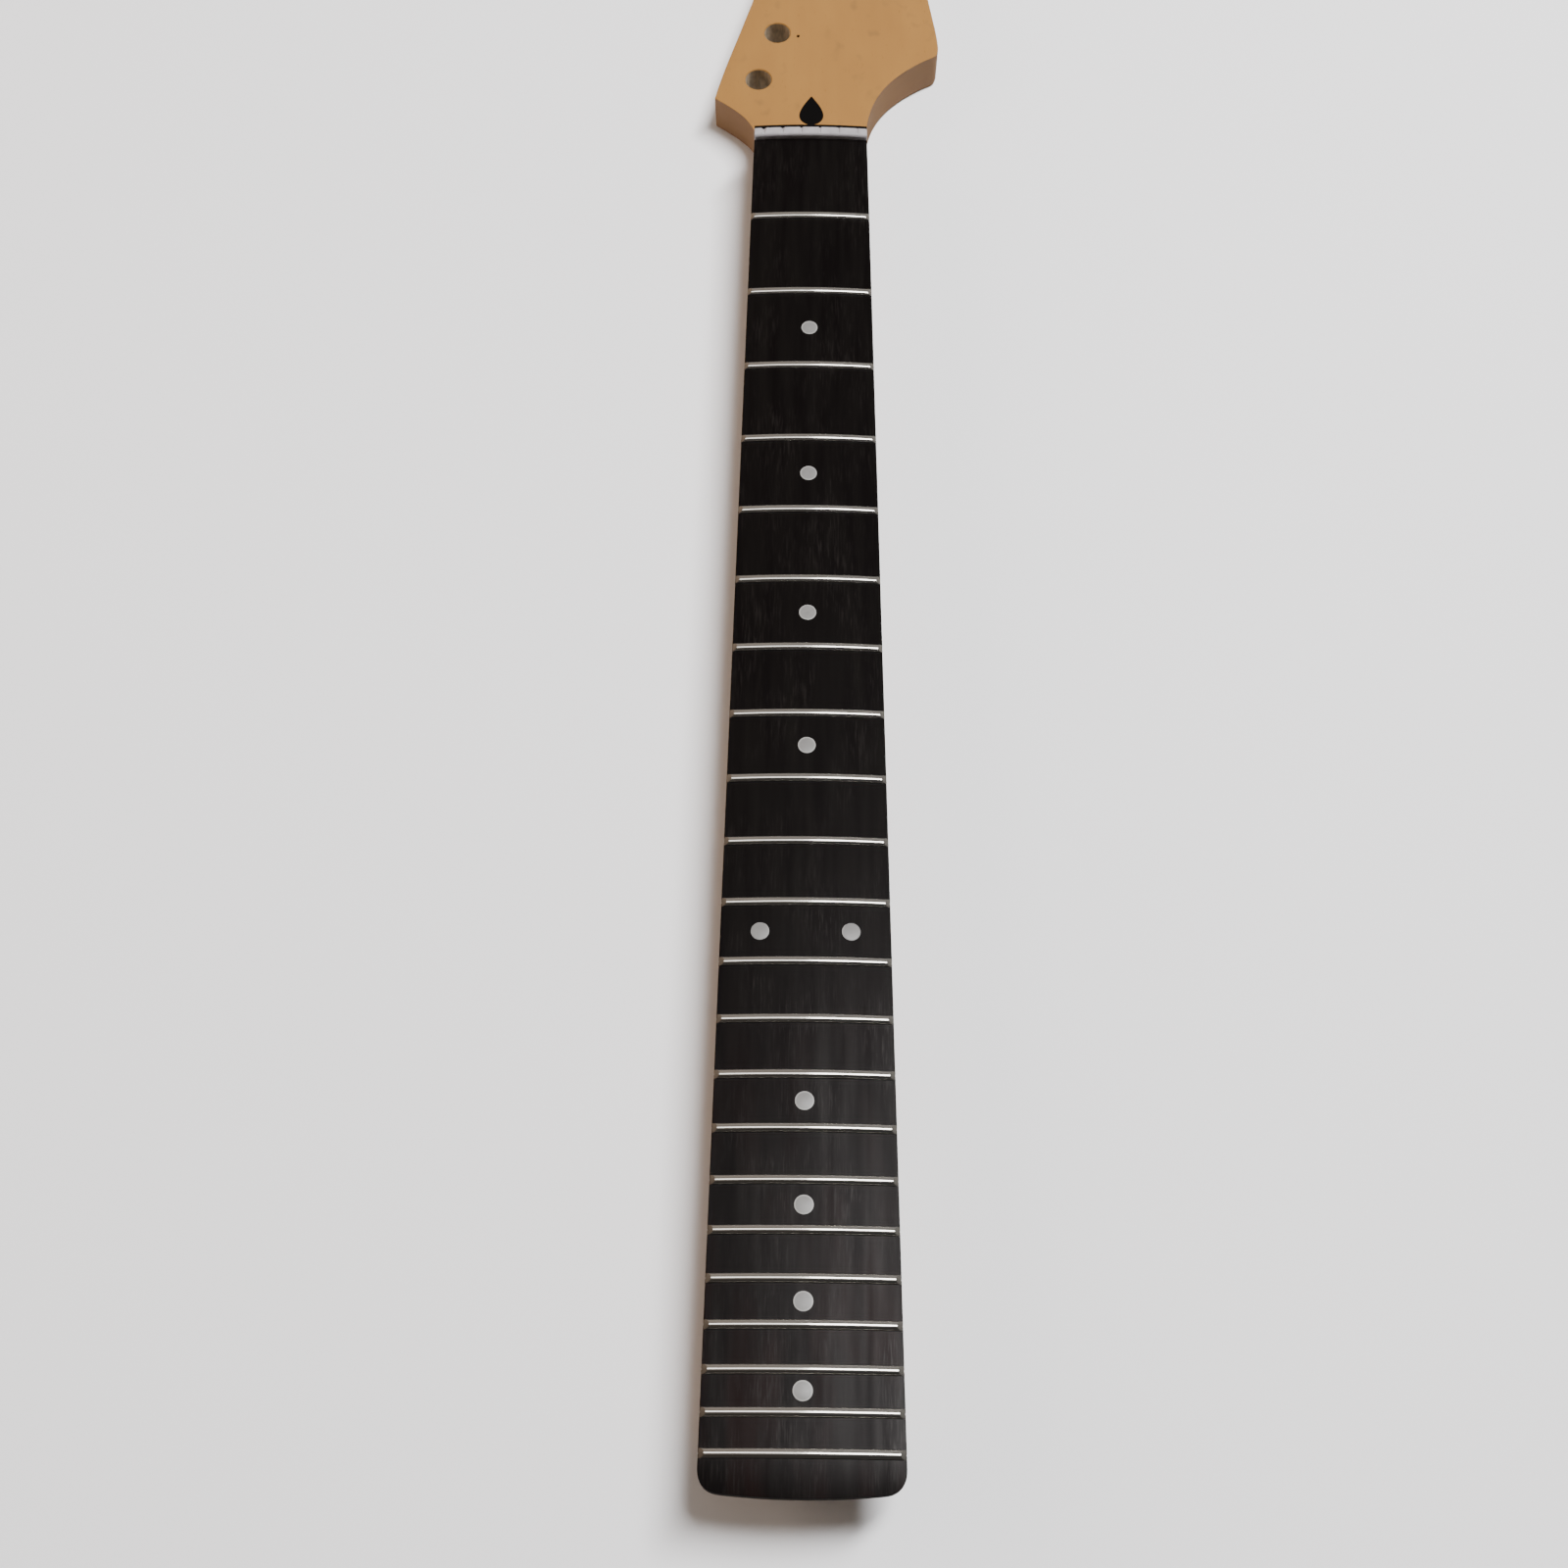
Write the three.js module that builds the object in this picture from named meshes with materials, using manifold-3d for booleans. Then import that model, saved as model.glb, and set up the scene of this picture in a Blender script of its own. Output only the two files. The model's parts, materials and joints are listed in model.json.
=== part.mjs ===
import * as THREE from 'three';
import { mergeVertices } from 'three/addons/utils/BufferGeometryUtils.js';
import Module from 'manifold-3d';

const wasm = await Module();
wasm.setup();

// Bolt-on electric guitar neck, in millimetres. The origin is the centre of the heel's back
// face, +X points to the treble side, +Y to the headstock and +Z out of the fretboard.
// Distances called "past nut" run along +Y from the nut's front face.

// Scale and plan sizes
const scaleLength = 647.7;
const fretCount = 22;
const fretsPerOctave = 12;
const nutWidth = 42;
const lastFretWidth = 57;
const heelSeatLength = 76.2;
const boardPastLastFret = 11.56;
const boardOverhang = 14;
const boardEndCrown = 1.8;
const boardCornerRadius = 6;
const heelCornerRadius = 5;

// Heights and thicknesses
const mapleThickness = 19.05;
const boardThickness = 6.35;
const boardRadius = 241.3;
const depthAtFirstFret = 21;
const depthAtTwelfthFret = 22.9;
const headstockThickness = 15.2;
const heelEdgeRadius = 1.5;
const heelCurveLength = 34;
const headCurveBeforeNut = 22;
const headCurvePastNut = 22;
const backFullness = 2.3;

// Headstock outline, as places past the nut and distances from the centre line
const tailPastNut = 7.2;
const flarePastNut = 8;
const joinPastNut = 26;
const bassCornerOut = 35.9;
const bassCornerPastNut = 28.4;
const bassFlareDegrees = 54;
const bassFlareStartPull = 9.9;
const bassFlareEndPull = 11.9;
const trebleBendOut = 44;
const trebleBendPastNut = 49;
const trebleBendDegrees = 58;
const trebleFlareStartPull = 20;
const trebleFlareEndPull = 18.2;
const lobeOut = 49.2;
const lobePastNut = 59;
const lobeBendPull = 4;
const lobeTopPull = 5;
const farSideStartPull = 12;
const farSideEndPull = 34;
const farSideDegrees = 4;
const farSideOut = 37;
const farSidePastNut = 157;
const tipPastLastHole = 22;
const tipCornerLength = 12;
const bassEdgeDegrees = 12;
const bassEdgePull = 14;

// Tuner holes
const tunerCount = 6;
const tunerHoleDiameter = 10;
const tunerSpacing = 25.1;
const tunerLineDegrees = 16.2;
const firstTunerOut = 19.9;
const firstTunerPastNut = 39.1;
const tunerEdgeDistance = 13;
const lineHoleDiameter = 1;
const lineHoleDepth = 2;
const lineHoleOut = 4.6;
const lineHolePastNut = 61.5;

// Frets
const crownWidth = 2.7;
const crownHeight = 1.1;
const crownEdgeHeight = 0.15;
const crownBevelRun = 1.1;
const tangThickness = 0.5;
const tangDepth = 1.6;
const slotWidth = 0.58;
const slotDepth = 1.75;
const fretEndInset = 0.04;
const seatGap = 0.02;

// Nut
const nutThickness = 4;
const nutProud = 2.7;
const nutBackDrop = 0.7;
const nutEdgeBreak = 0.5;
const nutSlotBelowBoard = 3.4;
const stringSpread = 35;
const stringCount = 6;
const bassNotchWidth = 2;
const trebleNotchWidth = 0.7;
const notchDepth = 1;

// Position marks
const dotDiameter = 6;
const dotThickness = 1.5;
const octavePairSpacing = 27.9;
const sideDotDiameter = 2;
const sideDotDepth = 1.4;
const sideDotBelowTop = 3.8;
const sidePairSpacing = 9;
const singleDotFretNumbers = [3, 5, 7, 9, 15, 17, 19, 21];

// Teardrop plug
const plugDiameter = 9.4;
const plugCentrePastNut = 20.2;
const plugTipPastNut = 30.6;
const plugDepth = 7;
const plugOffCentre = 0.6;

// Truss rod, its anchor and its nut
const rodDiameter = 4.76;
const rodMiddleHeight = 8.5;
const rodEndHeight = 10.5;
const rodHeelInset = 1.6;
const rodPastNut = 11;
const anchorDiameter = 7.5;
const anchorLength = 11;
const pocketDiameter = 9.6;
const pocketDepth = 14;
const ferruleThickness = 2.6;
const washerDiameter = 8.4;
const washerThickness = 0.9;
const adjusterDiameter = 8;
const adjusterLength = 9;
const adjusterEdgeBreak = 0.8;
const driverSlotWidth = 1.3;
const driverSlotDepth = 2.6;
const stripeWidth = 6.4;
const stripeStart = 6;
const stripeBeforeNut = 16;

// Heel screw pattern
const screwSpacingAcross = 38.1;
const screwSpacingAlong = 50.8;
const pilotDiameter = 3.2;
const pilotDepth = 16;

// Clearances and the shared overrun of cutting solids
const fitGap = 0.05;
const runningGap = 0.08;
const rodBoreGap = 0.3;
const overrun = 2;
const weldDistance = 0.001;

// Facets
const boardFacetWidth = 10;
const roundSegments = 20;
const smallRoundSegments = 12;

// Derived places
const heelEndY = -heelSeatLength / 2;
const boardEndY = heelEndY - boardOverhang;
const nutY = boardEndY + boardPastLastFret + fretDistance(fretCount);
const seatEndY = heelSeatLength / 2;
const boardTop = mapleThickness + boardThickness;
const coveRadius = boardTop - headstockThickness;
const coveY = nutY + tailPastNut + coveRadius;
const pocketFloorY = heelEndY + pocketDepth;
const ferruleFaceY = pocketFloorY - ferruleThickness;
const washerBackY = ferruleFaceY - fitGap;
const adjusterBackY = washerBackY - washerThickness - fitGap;
const rodRadius = rodDiameter / 2;

const maple = new THREE.MeshStandardMaterial({ color: '#c59c67', roughness: 0.45 });
const rosewood = new THREE.MeshStandardMaterial({ color: '#2c2422', roughness: 0.6 });
const walnut = new THREE.MeshStandardMaterial({ color: '#4b3022', roughness: 0.55 });
const ebony = new THREE.MeshStandardMaterial({ color: '#15130f', roughness: 0.5 });
const fretWire = new THREE.MeshStandardMaterial({ color: '#d9d4c8', roughness: 0.25, metalness: 1 });
const bone = new THREE.MeshStandardMaterial({ color: '#d8d3d6', roughness: 0.4 });
const markGrey = new THREE.MeshStandardMaterial({ color: '#b9b8b6', roughness: 0.4 });
const steel = new THREE.MeshStandardMaterial({ color: '#8f8f92', roughness: 0.35, metalness: 1 });

function fretDistance(number) {
  return scaleLength * (1 - 2 ** (-number / fretsPerOctave));
}

function fretY(number) {
  return nutY - fretDistance(number);
}

function midFretY(number) {
  return (fretY(number) + fretY(number - 1)) / 2;
}

function halfWidth(y) {
  const spread = (lastFretWidth - nutWidth) / 2;
  const along = Math.max(0, nutY - y) / (nutY - fretY(fretCount));
  return nutWidth / 2 + spread * along;
}

function radians(degrees) {
  return THREE.MathUtils.degToRad(degrees);
}

function heading(degrees, length) {
  return new THREE.Vector2(Math.sin(radians(degrees)), Math.cos(radians(degrees)))
    .multiplyScalar(length);
}

// Height of the playing surface, which is a cylinder cut into strips of equal width
function boardHeight(x) {
  const onCylinder = (across) => boardTop - boardRadius + Math.sqrt(boardRadius ** 2 - across ** 2);
  const strip = Math.floor(Math.abs(x) / boardFacetWidth);
  const inner = strip * boardFacetWidth;
  const outer = inner + boardFacetWidth;
  const share = (Math.abs(x) - inner) / boardFacetWidth;
  return THREE.MathUtils.lerp(onCylinder(inner), onCylinder(outer), share);
}

function toSolid(geometry) {
  const bare = geometry.clone();
  bare.deleteAttribute('normal');
  bare.deleteAttribute('uv');
  const merged = mergeVertices(bare, weldDistance);
  return new wasm.Manifold(new wasm.Mesh({
    numProp: 3,
    vertProperties: merged.attributes.position.array,
    triVerts: merged.index.array,
  }));
}

function toGeometry(solid) {
  const mesh = solid.getMesh();
  const geometry = new THREE.BufferGeometry();
  geometry.setAttribute('position', new THREE.BufferAttribute(mesh.vertProperties, 3));
  geometry.setIndex(new THREE.BufferAttribute(mesh.triVerts, 1));
  return geometry;
}

// A closed skin through a row of sections with equally many points. The caps are
// triangulated in the plane that toPlane maps a point to.
function loft(sections, toPlane) {
  const places = new Map();
  const points = [];
  const indexOf = (point) => {
    const key = point.toArray().map((value) => Math.round(value / weldDistance)).join(' ');
    if (!places.has(key)) places.set(key, points.push(point) - 1);
    return places.get(key);
  };
  const faces = [];
  const addTriangle = (a, b, c) => {
    if (a !== b && b !== c && c !== a) faces.push([a, b, c]);
  };
  const rings = sections.map((section) => section.map(indexOf));
  rings.slice(1).forEach((ring, i) => {
    const before = rings[i];
    ring.forEach((corner, j) => {
      const next = (j + 1) % ring.length;
      addTriangle(before[j], before[next], ring[next]);
      addTriangle(before[j], ring[next], corner);
    });
  });
  const addCap = (ring, alongRing) => {
    const corners = ring.filter((corner, j) => corner !== ring[(j + 1) % ring.length]);
    const outline = corners.map((corner) => toPlane(points[corner]));
    const clockwise = THREE.ShapeUtils.isClockWise(outline);
    THREE.ShapeUtils.triangulateShape(outline, []).forEach(([a, b, c]) => {
      const turn = THREE.ShapeUtils.isClockWise([outline[a], outline[b], outline[c]]);
      if ((turn === clockwise) === alongRing) addTriangle(corners[a], corners[b], corners[c]);
      else addTriangle(corners[a], corners[c], corners[b]);
    });
  };
  addCap(rings[0], false);
  addCap(rings[rings.length - 1], true);
  const geometry = new THREE.BufferGeometry().setFromPoints(points);
  geometry.setIndex(turnedOut(faces, points).flat());
  return geometry;
}

// The same faces, turned round where they enclose a negative volume
function turnedOut(faces, points) {
  const volume = faces.reduce((sum, [a, b, c]) => (
    sum + points[a].dot(points[b].clone().cross(points[c]))), 0);
  return volume < 0 ? faces.map(([a, b, c]) => [a, c, b]) : faces;
}

const seenAlongX = (point) => new THREE.Vector2(point.y, point.z);
const seenAlongY = (point) => new THREE.Vector2(point.x, point.z);

function block(minCorner, maxCorner) {
  const size = new THREE.Vector3().subVectors(maxCorner, minCorner);
  const centre = new THREE.Vector3().addVectors(minCorner, maxCorner).multiplyScalar(1 / 2);
  return toSolid(new THREE.BoxGeometry(size.x, size.y, size.z)
    .translate(centre.x, centre.y, centre.z));
}

// A flat outline in X and Y, drawn up from one height to another
function upright(points, fromZ, toZ) {
  const geometry = new THREE.ExtrudeGeometry(new THREE.Shape(points), {
    depth: toZ - fromZ, bevelEnabled: false, steps: 1,
  });
  return toSolid(geometry.translate(0, 0, fromZ));
}

function uprightRound(x, y, diameter, fromZ, toZ, segments) {
  const geometry = new THREE.CylinderGeometry(diameter / 2, diameter / 2, toZ - fromZ, segments);
  return toSolid(geometry.rotateX(Math.PI / 2).translate(x, y, (fromZ + toZ) / 2));
}

function roundAlongX(y, z, diameter, fromX, toX, segments) {
  const geometry = new THREE.CylinderGeometry(diameter / 2, diameter / 2, toX - fromX, segments);
  return toSolid(geometry.rotateZ(Math.PI / 2).translate((fromX + toX) / 2, y, z));
}

function roundAlongRod(diameter, fromY, toY) {
  return toSolid(new THREE.CylinderGeometry(diameter / 2, diameter / 2, toY - fromY, roundSegments)
    .translate(0, (fromY + toY) / 2, rodEndHeight));
}

// A ring round the end of the truss rod; each profile point is a radius and a place along Y
function turnedRing(profile) {
  const points = [...profile, profile[0]].map(([radius, y]) => new THREE.Vector2(radius, y));
  return new THREE.LatheGeometry(points, roundSegments).translate(0, 0, rodEndHeight);
}

// Headstock outline in X and distance past the nut

const tunerDirection = heading(tunerLineDegrees, 1);
const tunerOutward = heading(tunerLineDegrees - 90, 1);
const firstTuner = new THREE.Vector2(-firstTunerOut, firstTunerPastNut);

function alongTuners(distance, outward) {
  return firstTuner.clone()
    .addScaledVector(tunerDirection, distance)
    .addScaledVector(tunerOutward, outward);
}

const bassCorner = new THREE.Vector2(-bassCornerOut, bassCornerPastNut);
const bassFlare = new THREE.CubicBezierCurve(
  new THREE.Vector2(-nutWidth / 2, flarePastNut),
  new THREE.Vector2(-nutWidth / 2, flarePastNut + bassFlareStartPull),
  bassCorner.clone().sub(heading(-bassFlareDegrees, bassFlareEndPull)),
  bassCorner,
);

const trebleBend = new THREE.Vector2(trebleBendOut, trebleBendPastNut);
const trebleFlare = new THREE.CubicBezierCurve(
  new THREE.Vector2(nutWidth / 2, flarePastNut),
  new THREE.Vector2(nutWidth / 2, flarePastNut + trebleFlareStartPull),
  trebleBend.clone().sub(heading(trebleBendDegrees, trebleFlareEndPull)),
  trebleBend,
);

const lobe = new THREE.Vector2(lobeOut, lobePastNut);
const lobeBend = new THREE.CubicBezierCurve(
  trebleBend,
  trebleBend.clone().add(heading(trebleBendDegrees, lobeBendPull)),
  new THREE.Vector2(lobeOut, lobePastNut - lobeTopPull),
  lobe,
);

const farSideEnd = new THREE.Vector2(farSideOut, farSidePastNut);
const farSide = new THREE.CubicBezierCurve(
  lobe,
  new THREE.Vector2(lobeOut, lobePastNut + farSideStartPull),
  farSideEnd.clone().sub(heading(-farSideDegrees, farSideEndPull)),
  farSideEnd,
);

const holeSpan = (tunerCount - 1) * tunerSpacing;
const bassTip = alongTuners(holeSpan + tipPastLastHole, tunerEdgeDistance);

// Where the treble side, carried on straight, meets the end that is square to the tuner line
function trebleTipCorner() {
  const side = heading(-farSideDegrees, 1);
  const toTip = bassTip.clone().sub(farSideEnd);
  const reach = toTip.dot(tunerDirection) / side.dot(tunerDirection);
  return farSideEnd.clone().addScaledVector(side, reach);
}

const trebleTip = trebleTipCorner();
const trebleTipRound = new THREE.QuadraticBezierCurve(
  farSideEnd,
  trebleTip,
  trebleTip.clone().addScaledVector(tunerOutward, tipCornerLength),
);
const bassTipRound = new THREE.QuadraticBezierCurve(
  bassTip.clone().addScaledVector(tunerOutward, -tipCornerLength),
  bassTip,
  bassTip.clone().addScaledVector(tunerDirection, -tipCornerLength),
);

const bassEdgeTop = alongTuners(tunerSpacing, tunerEdgeDistance);
const bassEdge = new THREE.CubicBezierCurve(
  bassEdgeTop,
  bassEdgeTop.clone().addScaledVector(tunerDirection, -bassEdgePull),
  bassCorner.clone().add(heading(bassEdgeDegrees, bassEdgePull)),
  bassCorner,
);

// The parameter at which a curve that climbs steadily reaches a distance past the nut
function parameterAt(curve, pastNut) {
  let low = 0;
  let high = 1;
  for (let step = 0; step < 40; step += 1) {
    const middle = (low + high) / 2;
    if (curve.getPoint(middle).y < pastNut) low = middle;
    else high = middle;
  }
  return (low + high) / 2;
}

function curveFrom(curve, pastNut, segments) {
  const start = parameterAt(curve, pastNut);
  return Array.from({ length: segments + 1 }, (_, step) => (
    curve.getPoint(THREE.MathUtils.lerp(start, 1, step / segments))));
}

function sideAt(curve, pastNut) {
  if (pastNut <= flarePastNut) return nutWidth / 2;
  return Math.abs(curve.getPoint(parameterAt(curve, pastNut)).x);
}

function headstockOutline() {
  const flareSegments = 7;
  const bendSegments = 5;
  const sideSegments = 7;
  const roundedSegments = 5;
  const rows = [
    curveFrom(trebleFlare, joinPastNut, flareSegments),
    lobeBend.getPoints(bendSegments).slice(1),
    farSide.getPoints(sideSegments).slice(1),
    trebleTipRound.getPoints(roundedSegments).slice(1),
    bassTipRound.getPoints(roundedSegments),
    bassEdge.getPoints(bendSegments),
    curveFrom(bassFlare, joinPastNut, 1).reverse().slice(1),
  ];
  return rows.flat().map((point) => new THREE.Vector2(point.x, nutY + point.y));
}

// Neck blank: a row of cross sections from the heel end to the headstock

// How much of the full carving a section has: none in the heel and the headstock
function carvedShare(y) {
  const heel = THREE.MathUtils.smoothstep(y, seatEndY, seatEndY + heelCurveLength);
  const head = THREE.MathUtils.smoothstep(y, nutY - headCurveBeforeNut, nutY + headCurvePastNut);
  return heel * (1 - head);
}

function shaftBottom(y) {
  const along = (y - fretY(fretsPerOctave)) / (fretY(1) - fretY(fretsPerOctave));
  return boardTop - THREE.MathUtils.lerp(depthAtTwelfthFret, depthAtFirstFret, along);
}

// One side of a section, from the glue line round to the middle of the back, part way
// from a square block with a rounded edge to the carved back
function sectionSide(width, bottom, edgeRadius, carved) {
  const steps = 9;
  const height = mapleThickness - bottom;
  const flat = width - edgeRadius;
  return Array.from({ length: steps + 1 }, (_, step) => {
    const turn = (step / steps) * (Math.PI / 2);
    const third = (step / steps) * 3;
    const down = Math.min(third, 1);
    const corner = THREE.MathUtils.clamp(third - 1, 0, 1) * (Math.PI / 2);
    const inward = Math.max(third - 2, 0);
    const blockOut = (flat + edgeRadius * Math.cos(corner)) * (1 - inward);
    const blockDown = (height - edgeRadius) * down + edgeRadius * Math.sin(corner);
    const carvedOut = width * Math.cos(turn) ** (2 / backFullness);
    const carvedDown = height * Math.sin(turn) ** (2 / backFullness);
    return new THREE.Vector2(
      THREE.MathUtils.lerp(blockOut, carvedOut, carved),
      mapleThickness - THREE.MathUtils.lerp(blockDown, carvedDown, carved),
    );
  });
}

function neckSection(y) {
  const pastNut = y - nutY;
  const carved = carvedShare(y);
  const bottom = shaftBottom(y) * carved;
  const edgeRadius = pastNut > -headCurveBeforeNut ? 0 : heelEdgeRadius;
  const side = (curve) => sectionSide(
    pastNut > 0 ? sideAt(curve, pastNut) : halfWidth(y), bottom, edgeRadius, carved);
  const bass = side(bassFlare).map((point) => new THREE.Vector3(-point.x, y, point.y));
  const treble = side(trebleFlare).map((point) => new THREE.Vector3(point.x, y, point.y));
  return [...bass, ...treble.reverse().slice(1)];
}

function neckStations() {
  const curveSteps = 6;
  const headSteps = 10;
  const headCurveStart = nutY - headCurveBeforeNut;
  const headCurve = headCurveBeforeNut + headCurvePastNut;
  return [
    heelEndY,
    ...Array.from({ length: curveSteps + 1 }, (_, step) => (
      seatEndY + heelCurveLength * (step / curveSteps))),
    ...Array.from({ length: headSteps + 1 }, (_, step) => (
      headCurveStart + headCurve * (step / headSteps))),
    nutY + joinPastNut,
  ];
}

// Everything behind the heel's rounded corners, much wider than the neck
function heelCornerPlan() {
  const cornerY = heelEndY + heelCornerRadius;
  const out = halfWidth(cornerY);
  const wide = out + scaleLength;
  const plan = new THREE.Path();
  plan.moveTo(wide, cornerY);
  plan.lineTo(wide, nutY + scaleLength);
  plan.lineTo(-wide, nutY + scaleLength);
  plan.lineTo(-wide, cornerY);
  plan.lineTo(-out, cornerY);
  plan.quadraticCurveTo(-out, heelEndY, -out + heelCornerRadius, heelEndY);
  plan.lineTo(out - heelCornerRadius, heelEndY);
  plan.quadraticCurveTo(out, heelEndY, out, cornerY);
  return plan.getPoints(5);
}

function teardrop(gap) {
  const radius = plugDiameter / 2 + gap;
  const centre = new THREE.Vector2(plugOffCentre, nutY + plugCentrePastNut);
  const tipDistance = (plugTipPastNut - plugCentrePastNut) * (radius / (plugDiameter / 2));
  const tangent = Math.acos(radius / tipDistance);
  const start = Math.PI / 2 + tangent;
  const sweep = 2 * (Math.PI - tangent);
  const steps = 14;
  const round = Array.from({ length: steps + 1 }, (_, step) => {
    const angle = start + sweep * (step / steps);
    return new THREE.Vector2(Math.cos(angle), Math.sin(angle)).multiplyScalar(radius).add(centre);
  });
  return [...round, new THREE.Vector2(centre.x, centre.y + tipDistance)];
}

// The round cove behind the nut, and everything above the headstock's face in front of it
function coveCutter() {
  const reach = lobeOut + overrun;
  const round = roundAlongX(coveY, boardTop, 2 * coveRadius, -reach, reach, 2 * roundSegments);
  return round.add(block(
    new THREE.Vector3(-reach, coveY, headstockThickness),
    new THREE.Vector3(reach, nutY + plugTipPastNut + overrun, boardTop + overrun),
  ));
}

// Height of the truss rod's centre line: level at both ends and lowest in the middle
function rodHeight(y) {
  const start = stripeStart;
  const end = nutY - stripeBeforeNut;
  const along = THREE.MathUtils.clamp((y - start) / (end - start), 0, 1);
  return THREE.MathUtils.lerp(rodEndHeight, rodMiddleHeight, (1 - Math.cos(2 * Math.PI * along)) / 2);
}

const rodSteps = 10;
const rodStations = Array.from({ length: rodSteps + 1 }, (_, step) => (
  THREE.MathUtils.lerp(stripeStart, nutY - stripeBeforeNut, step / rodSteps)));

// A slot with round ends, open at the back, whose floor follows the rod
function stripeSlot(gap, floorFromRod) {
  const radius = stripeWidth / 2 - gap;
  const startY = stripeStart + stripeWidth / 2;
  const endY = nutY - stripeBeforeNut - stripeWidth / 2;
  const plan = new THREE.Path();
  plan.absarc(0, startY, radius, -Math.PI, 0, false);
  plan.absarc(0, endY, radius, 0, Math.PI, false);
  const profile = (x) => [
    new THREE.Vector3(x, rodStations[0] - overrun, -overrun),
    ...[rodStations[0] - overrun, ...rodStations, rodStations[rodSteps] + overrun].map((y) => (
      new THREE.Vector3(x, y, rodHeight(y) + floorFromRod))),
    new THREE.Vector3(x, rodStations[rodSteps] + overrun, -overrun),
  ];
  const deep = toSolid(loft([profile(-stripeWidth), profile(stripeWidth)], seenAlongX));
  return upright(plan.getPoints(smallRoundSegments / 2), -overrun, boardTop).intersect(deep);
}

function rodSection(y) {
  const sides = 10;
  return Array.from({ length: sides }, (_, side) => {
    const angle = (side / sides) * 2 * Math.PI;
    return new THREE.Vector3(
      rodRadius * Math.cos(angle), y, rodHeight(y) + rodRadius * Math.sin(angle));
  });
}

function makeTrussRod() {
  const ends = [heelEndY + rodHeelInset, nutY + rodPastNut];
  return loft([ends[0], ...rodStations, ends[1]].map(rodSection), seenAlongY);
}

const neckBlank = toSolid(loft(neckStations().map(neckSection), seenAlongY))
  .intersect(upright(heelCornerPlan(), -overrun, boardTop));

function makeNeck() {
  const anchorStart = nutY + rodPastNut - anchorLength - fitGap;
  const plugEdgeY = nutY + plugCentrePastNut - plugDiameter / 2 + fitGap;
  const cuts = [
    coveCutter(),
    upright(teardrop(fitGap), headstockThickness - plugDepth, boardTop),
    stripeSlot(0, rodRadius + fitGap),
    roundAlongRod(pocketDiameter, heelEndY - overrun, pocketFloorY),
    roundAlongRod(rodDiameter + 2 * rodBoreGap, pocketFloorY - overrun, stripeStart + stripeWidth),
    roundAlongRod(rodDiameter + 2 * rodBoreGap, nutY - stripeBeforeNut - stripeWidth, anchorStart),
    roundAlongRod(anchorDiameter + 2 * fitGap, anchorStart, plugEdgeY + overrun),
    uprightRound(-lineHoleOut, nutY + lineHolePastNut, lineHoleDiameter,
      headstockThickness - lineHoleDepth, boardTop, smallRoundSegments),
  ];
  for (let hole = 0; hole < tunerCount; hole += 1) {
    const place = alongTuners(hole * tunerSpacing, 0);
    cuts.push(uprightRound(place.x, nutY + place.y, tunerHoleDiameter,
      -overrun, boardTop, roundSegments));
  }
  [-1, 1].forEach((across) => [-1, 1].forEach((along) => {
    cuts.push(uprightRound(across * (screwSpacingAcross / 2), along * (screwSpacingAlong / 2),
      pilotDiameter, -overrun, pilotDepth, smallRoundSegments));
  }));
  const headstock = upright(headstockOutline(), 0, headstockThickness);
  return cuts.reduce((solid, cut) => solid.subtract(cut), neckBlank.add(headstock));
}

function makeStripe() {
  return stripeSlot(fitGap, -rodRadius - fitGap).intersect(neckBlank);
}

function makePlug() {
  return upright(teardrop(0), headstockThickness - plugDepth + seatGap, boardTop)
    .subtract(coveCutter());
}

// Fretboard

function facetPlaces(reach) {
  const count = Math.ceil(reach / boardFacetWidth);
  return Array.from({ length: 2 * count + 1 }, (_, i) => (i - count) * boardFacetWidth);
}

// The space under the playing surface, wider and longer than the board
function underSurface() {
  const section = (y) => {
    const places = facetPlaces(lastFretWidth / 2 + seatGap);
    return [
      new THREE.Vector3(places[0], y, mapleThickness + seatGap),
      ...places.map((x) => new THREE.Vector3(x, y, boardHeight(x))),
      new THREE.Vector3(places[places.length - 1], y, mapleThickness + seatGap),
    ];
  };
  return toSolid(loft([section(boardEndY - overrun), section(coveY + overrun)], seenAlongY));
}

function boardPlan() {
  const out = halfWidth(boardEndY + boardCornerRadius);
  const flat = out - boardCornerRadius;
  const crownAt = (x) => boardEndY + boardEndCrown * (x / out) ** 2;
  const cornerY = crownAt(flat) + 2 * boardEndCrown * (flat / out) * (boardCornerRadius / out);
  const plan = new THREE.Path();
  plan.moveTo(nutWidth / 2, coveY);
  plan.lineTo(-nutWidth / 2, coveY);
  plan.lineTo(-nutWidth / 2, nutY);
  plan.lineTo(-out, cornerY + boardCornerRadius);
  plan.quadraticCurveTo(-out, cornerY, -flat, crownAt(flat));
  plan.quadraticCurveTo(0, 2 * boardEndY - crownAt(flat), flat, crownAt(flat));
  plan.quadraticCurveTo(out, cornerY, out, cornerY + boardCornerRadius);
  plan.lineTo(nutWidth / 2, nutY);
  return plan.getPoints(6);
}

const boardSurface = underSurface();
const boardPrism = upright(boardPlan(), mapleThickness - overrun, boardTop + overrun);

// Section places across a fret: its ends and the edges of the board's strips between them
function acrossBoard(half, clear) {
  const inner = facetPlaces(half).filter((x) => Math.abs(x) < half - clear);
  return [-half, ...inner, half];
}

function fretSlot(number) {
  const half = lastFretWidth / 2 + overrun;
  const y = fretY(number);
  const sections = acrossBoard(half, 0).map((x) => [
    [-slotWidth / 2, -slotDepth], [slotWidth / 2, -slotDepth],
    [slotWidth / 2, overrun], [-slotWidth / 2, overrun],
  ].map(([along, up]) => new THREE.Vector3(x, y + along, boardHeight(x) + up)));
  return toSolid(loft(sections, seenAlongX));
}

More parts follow.
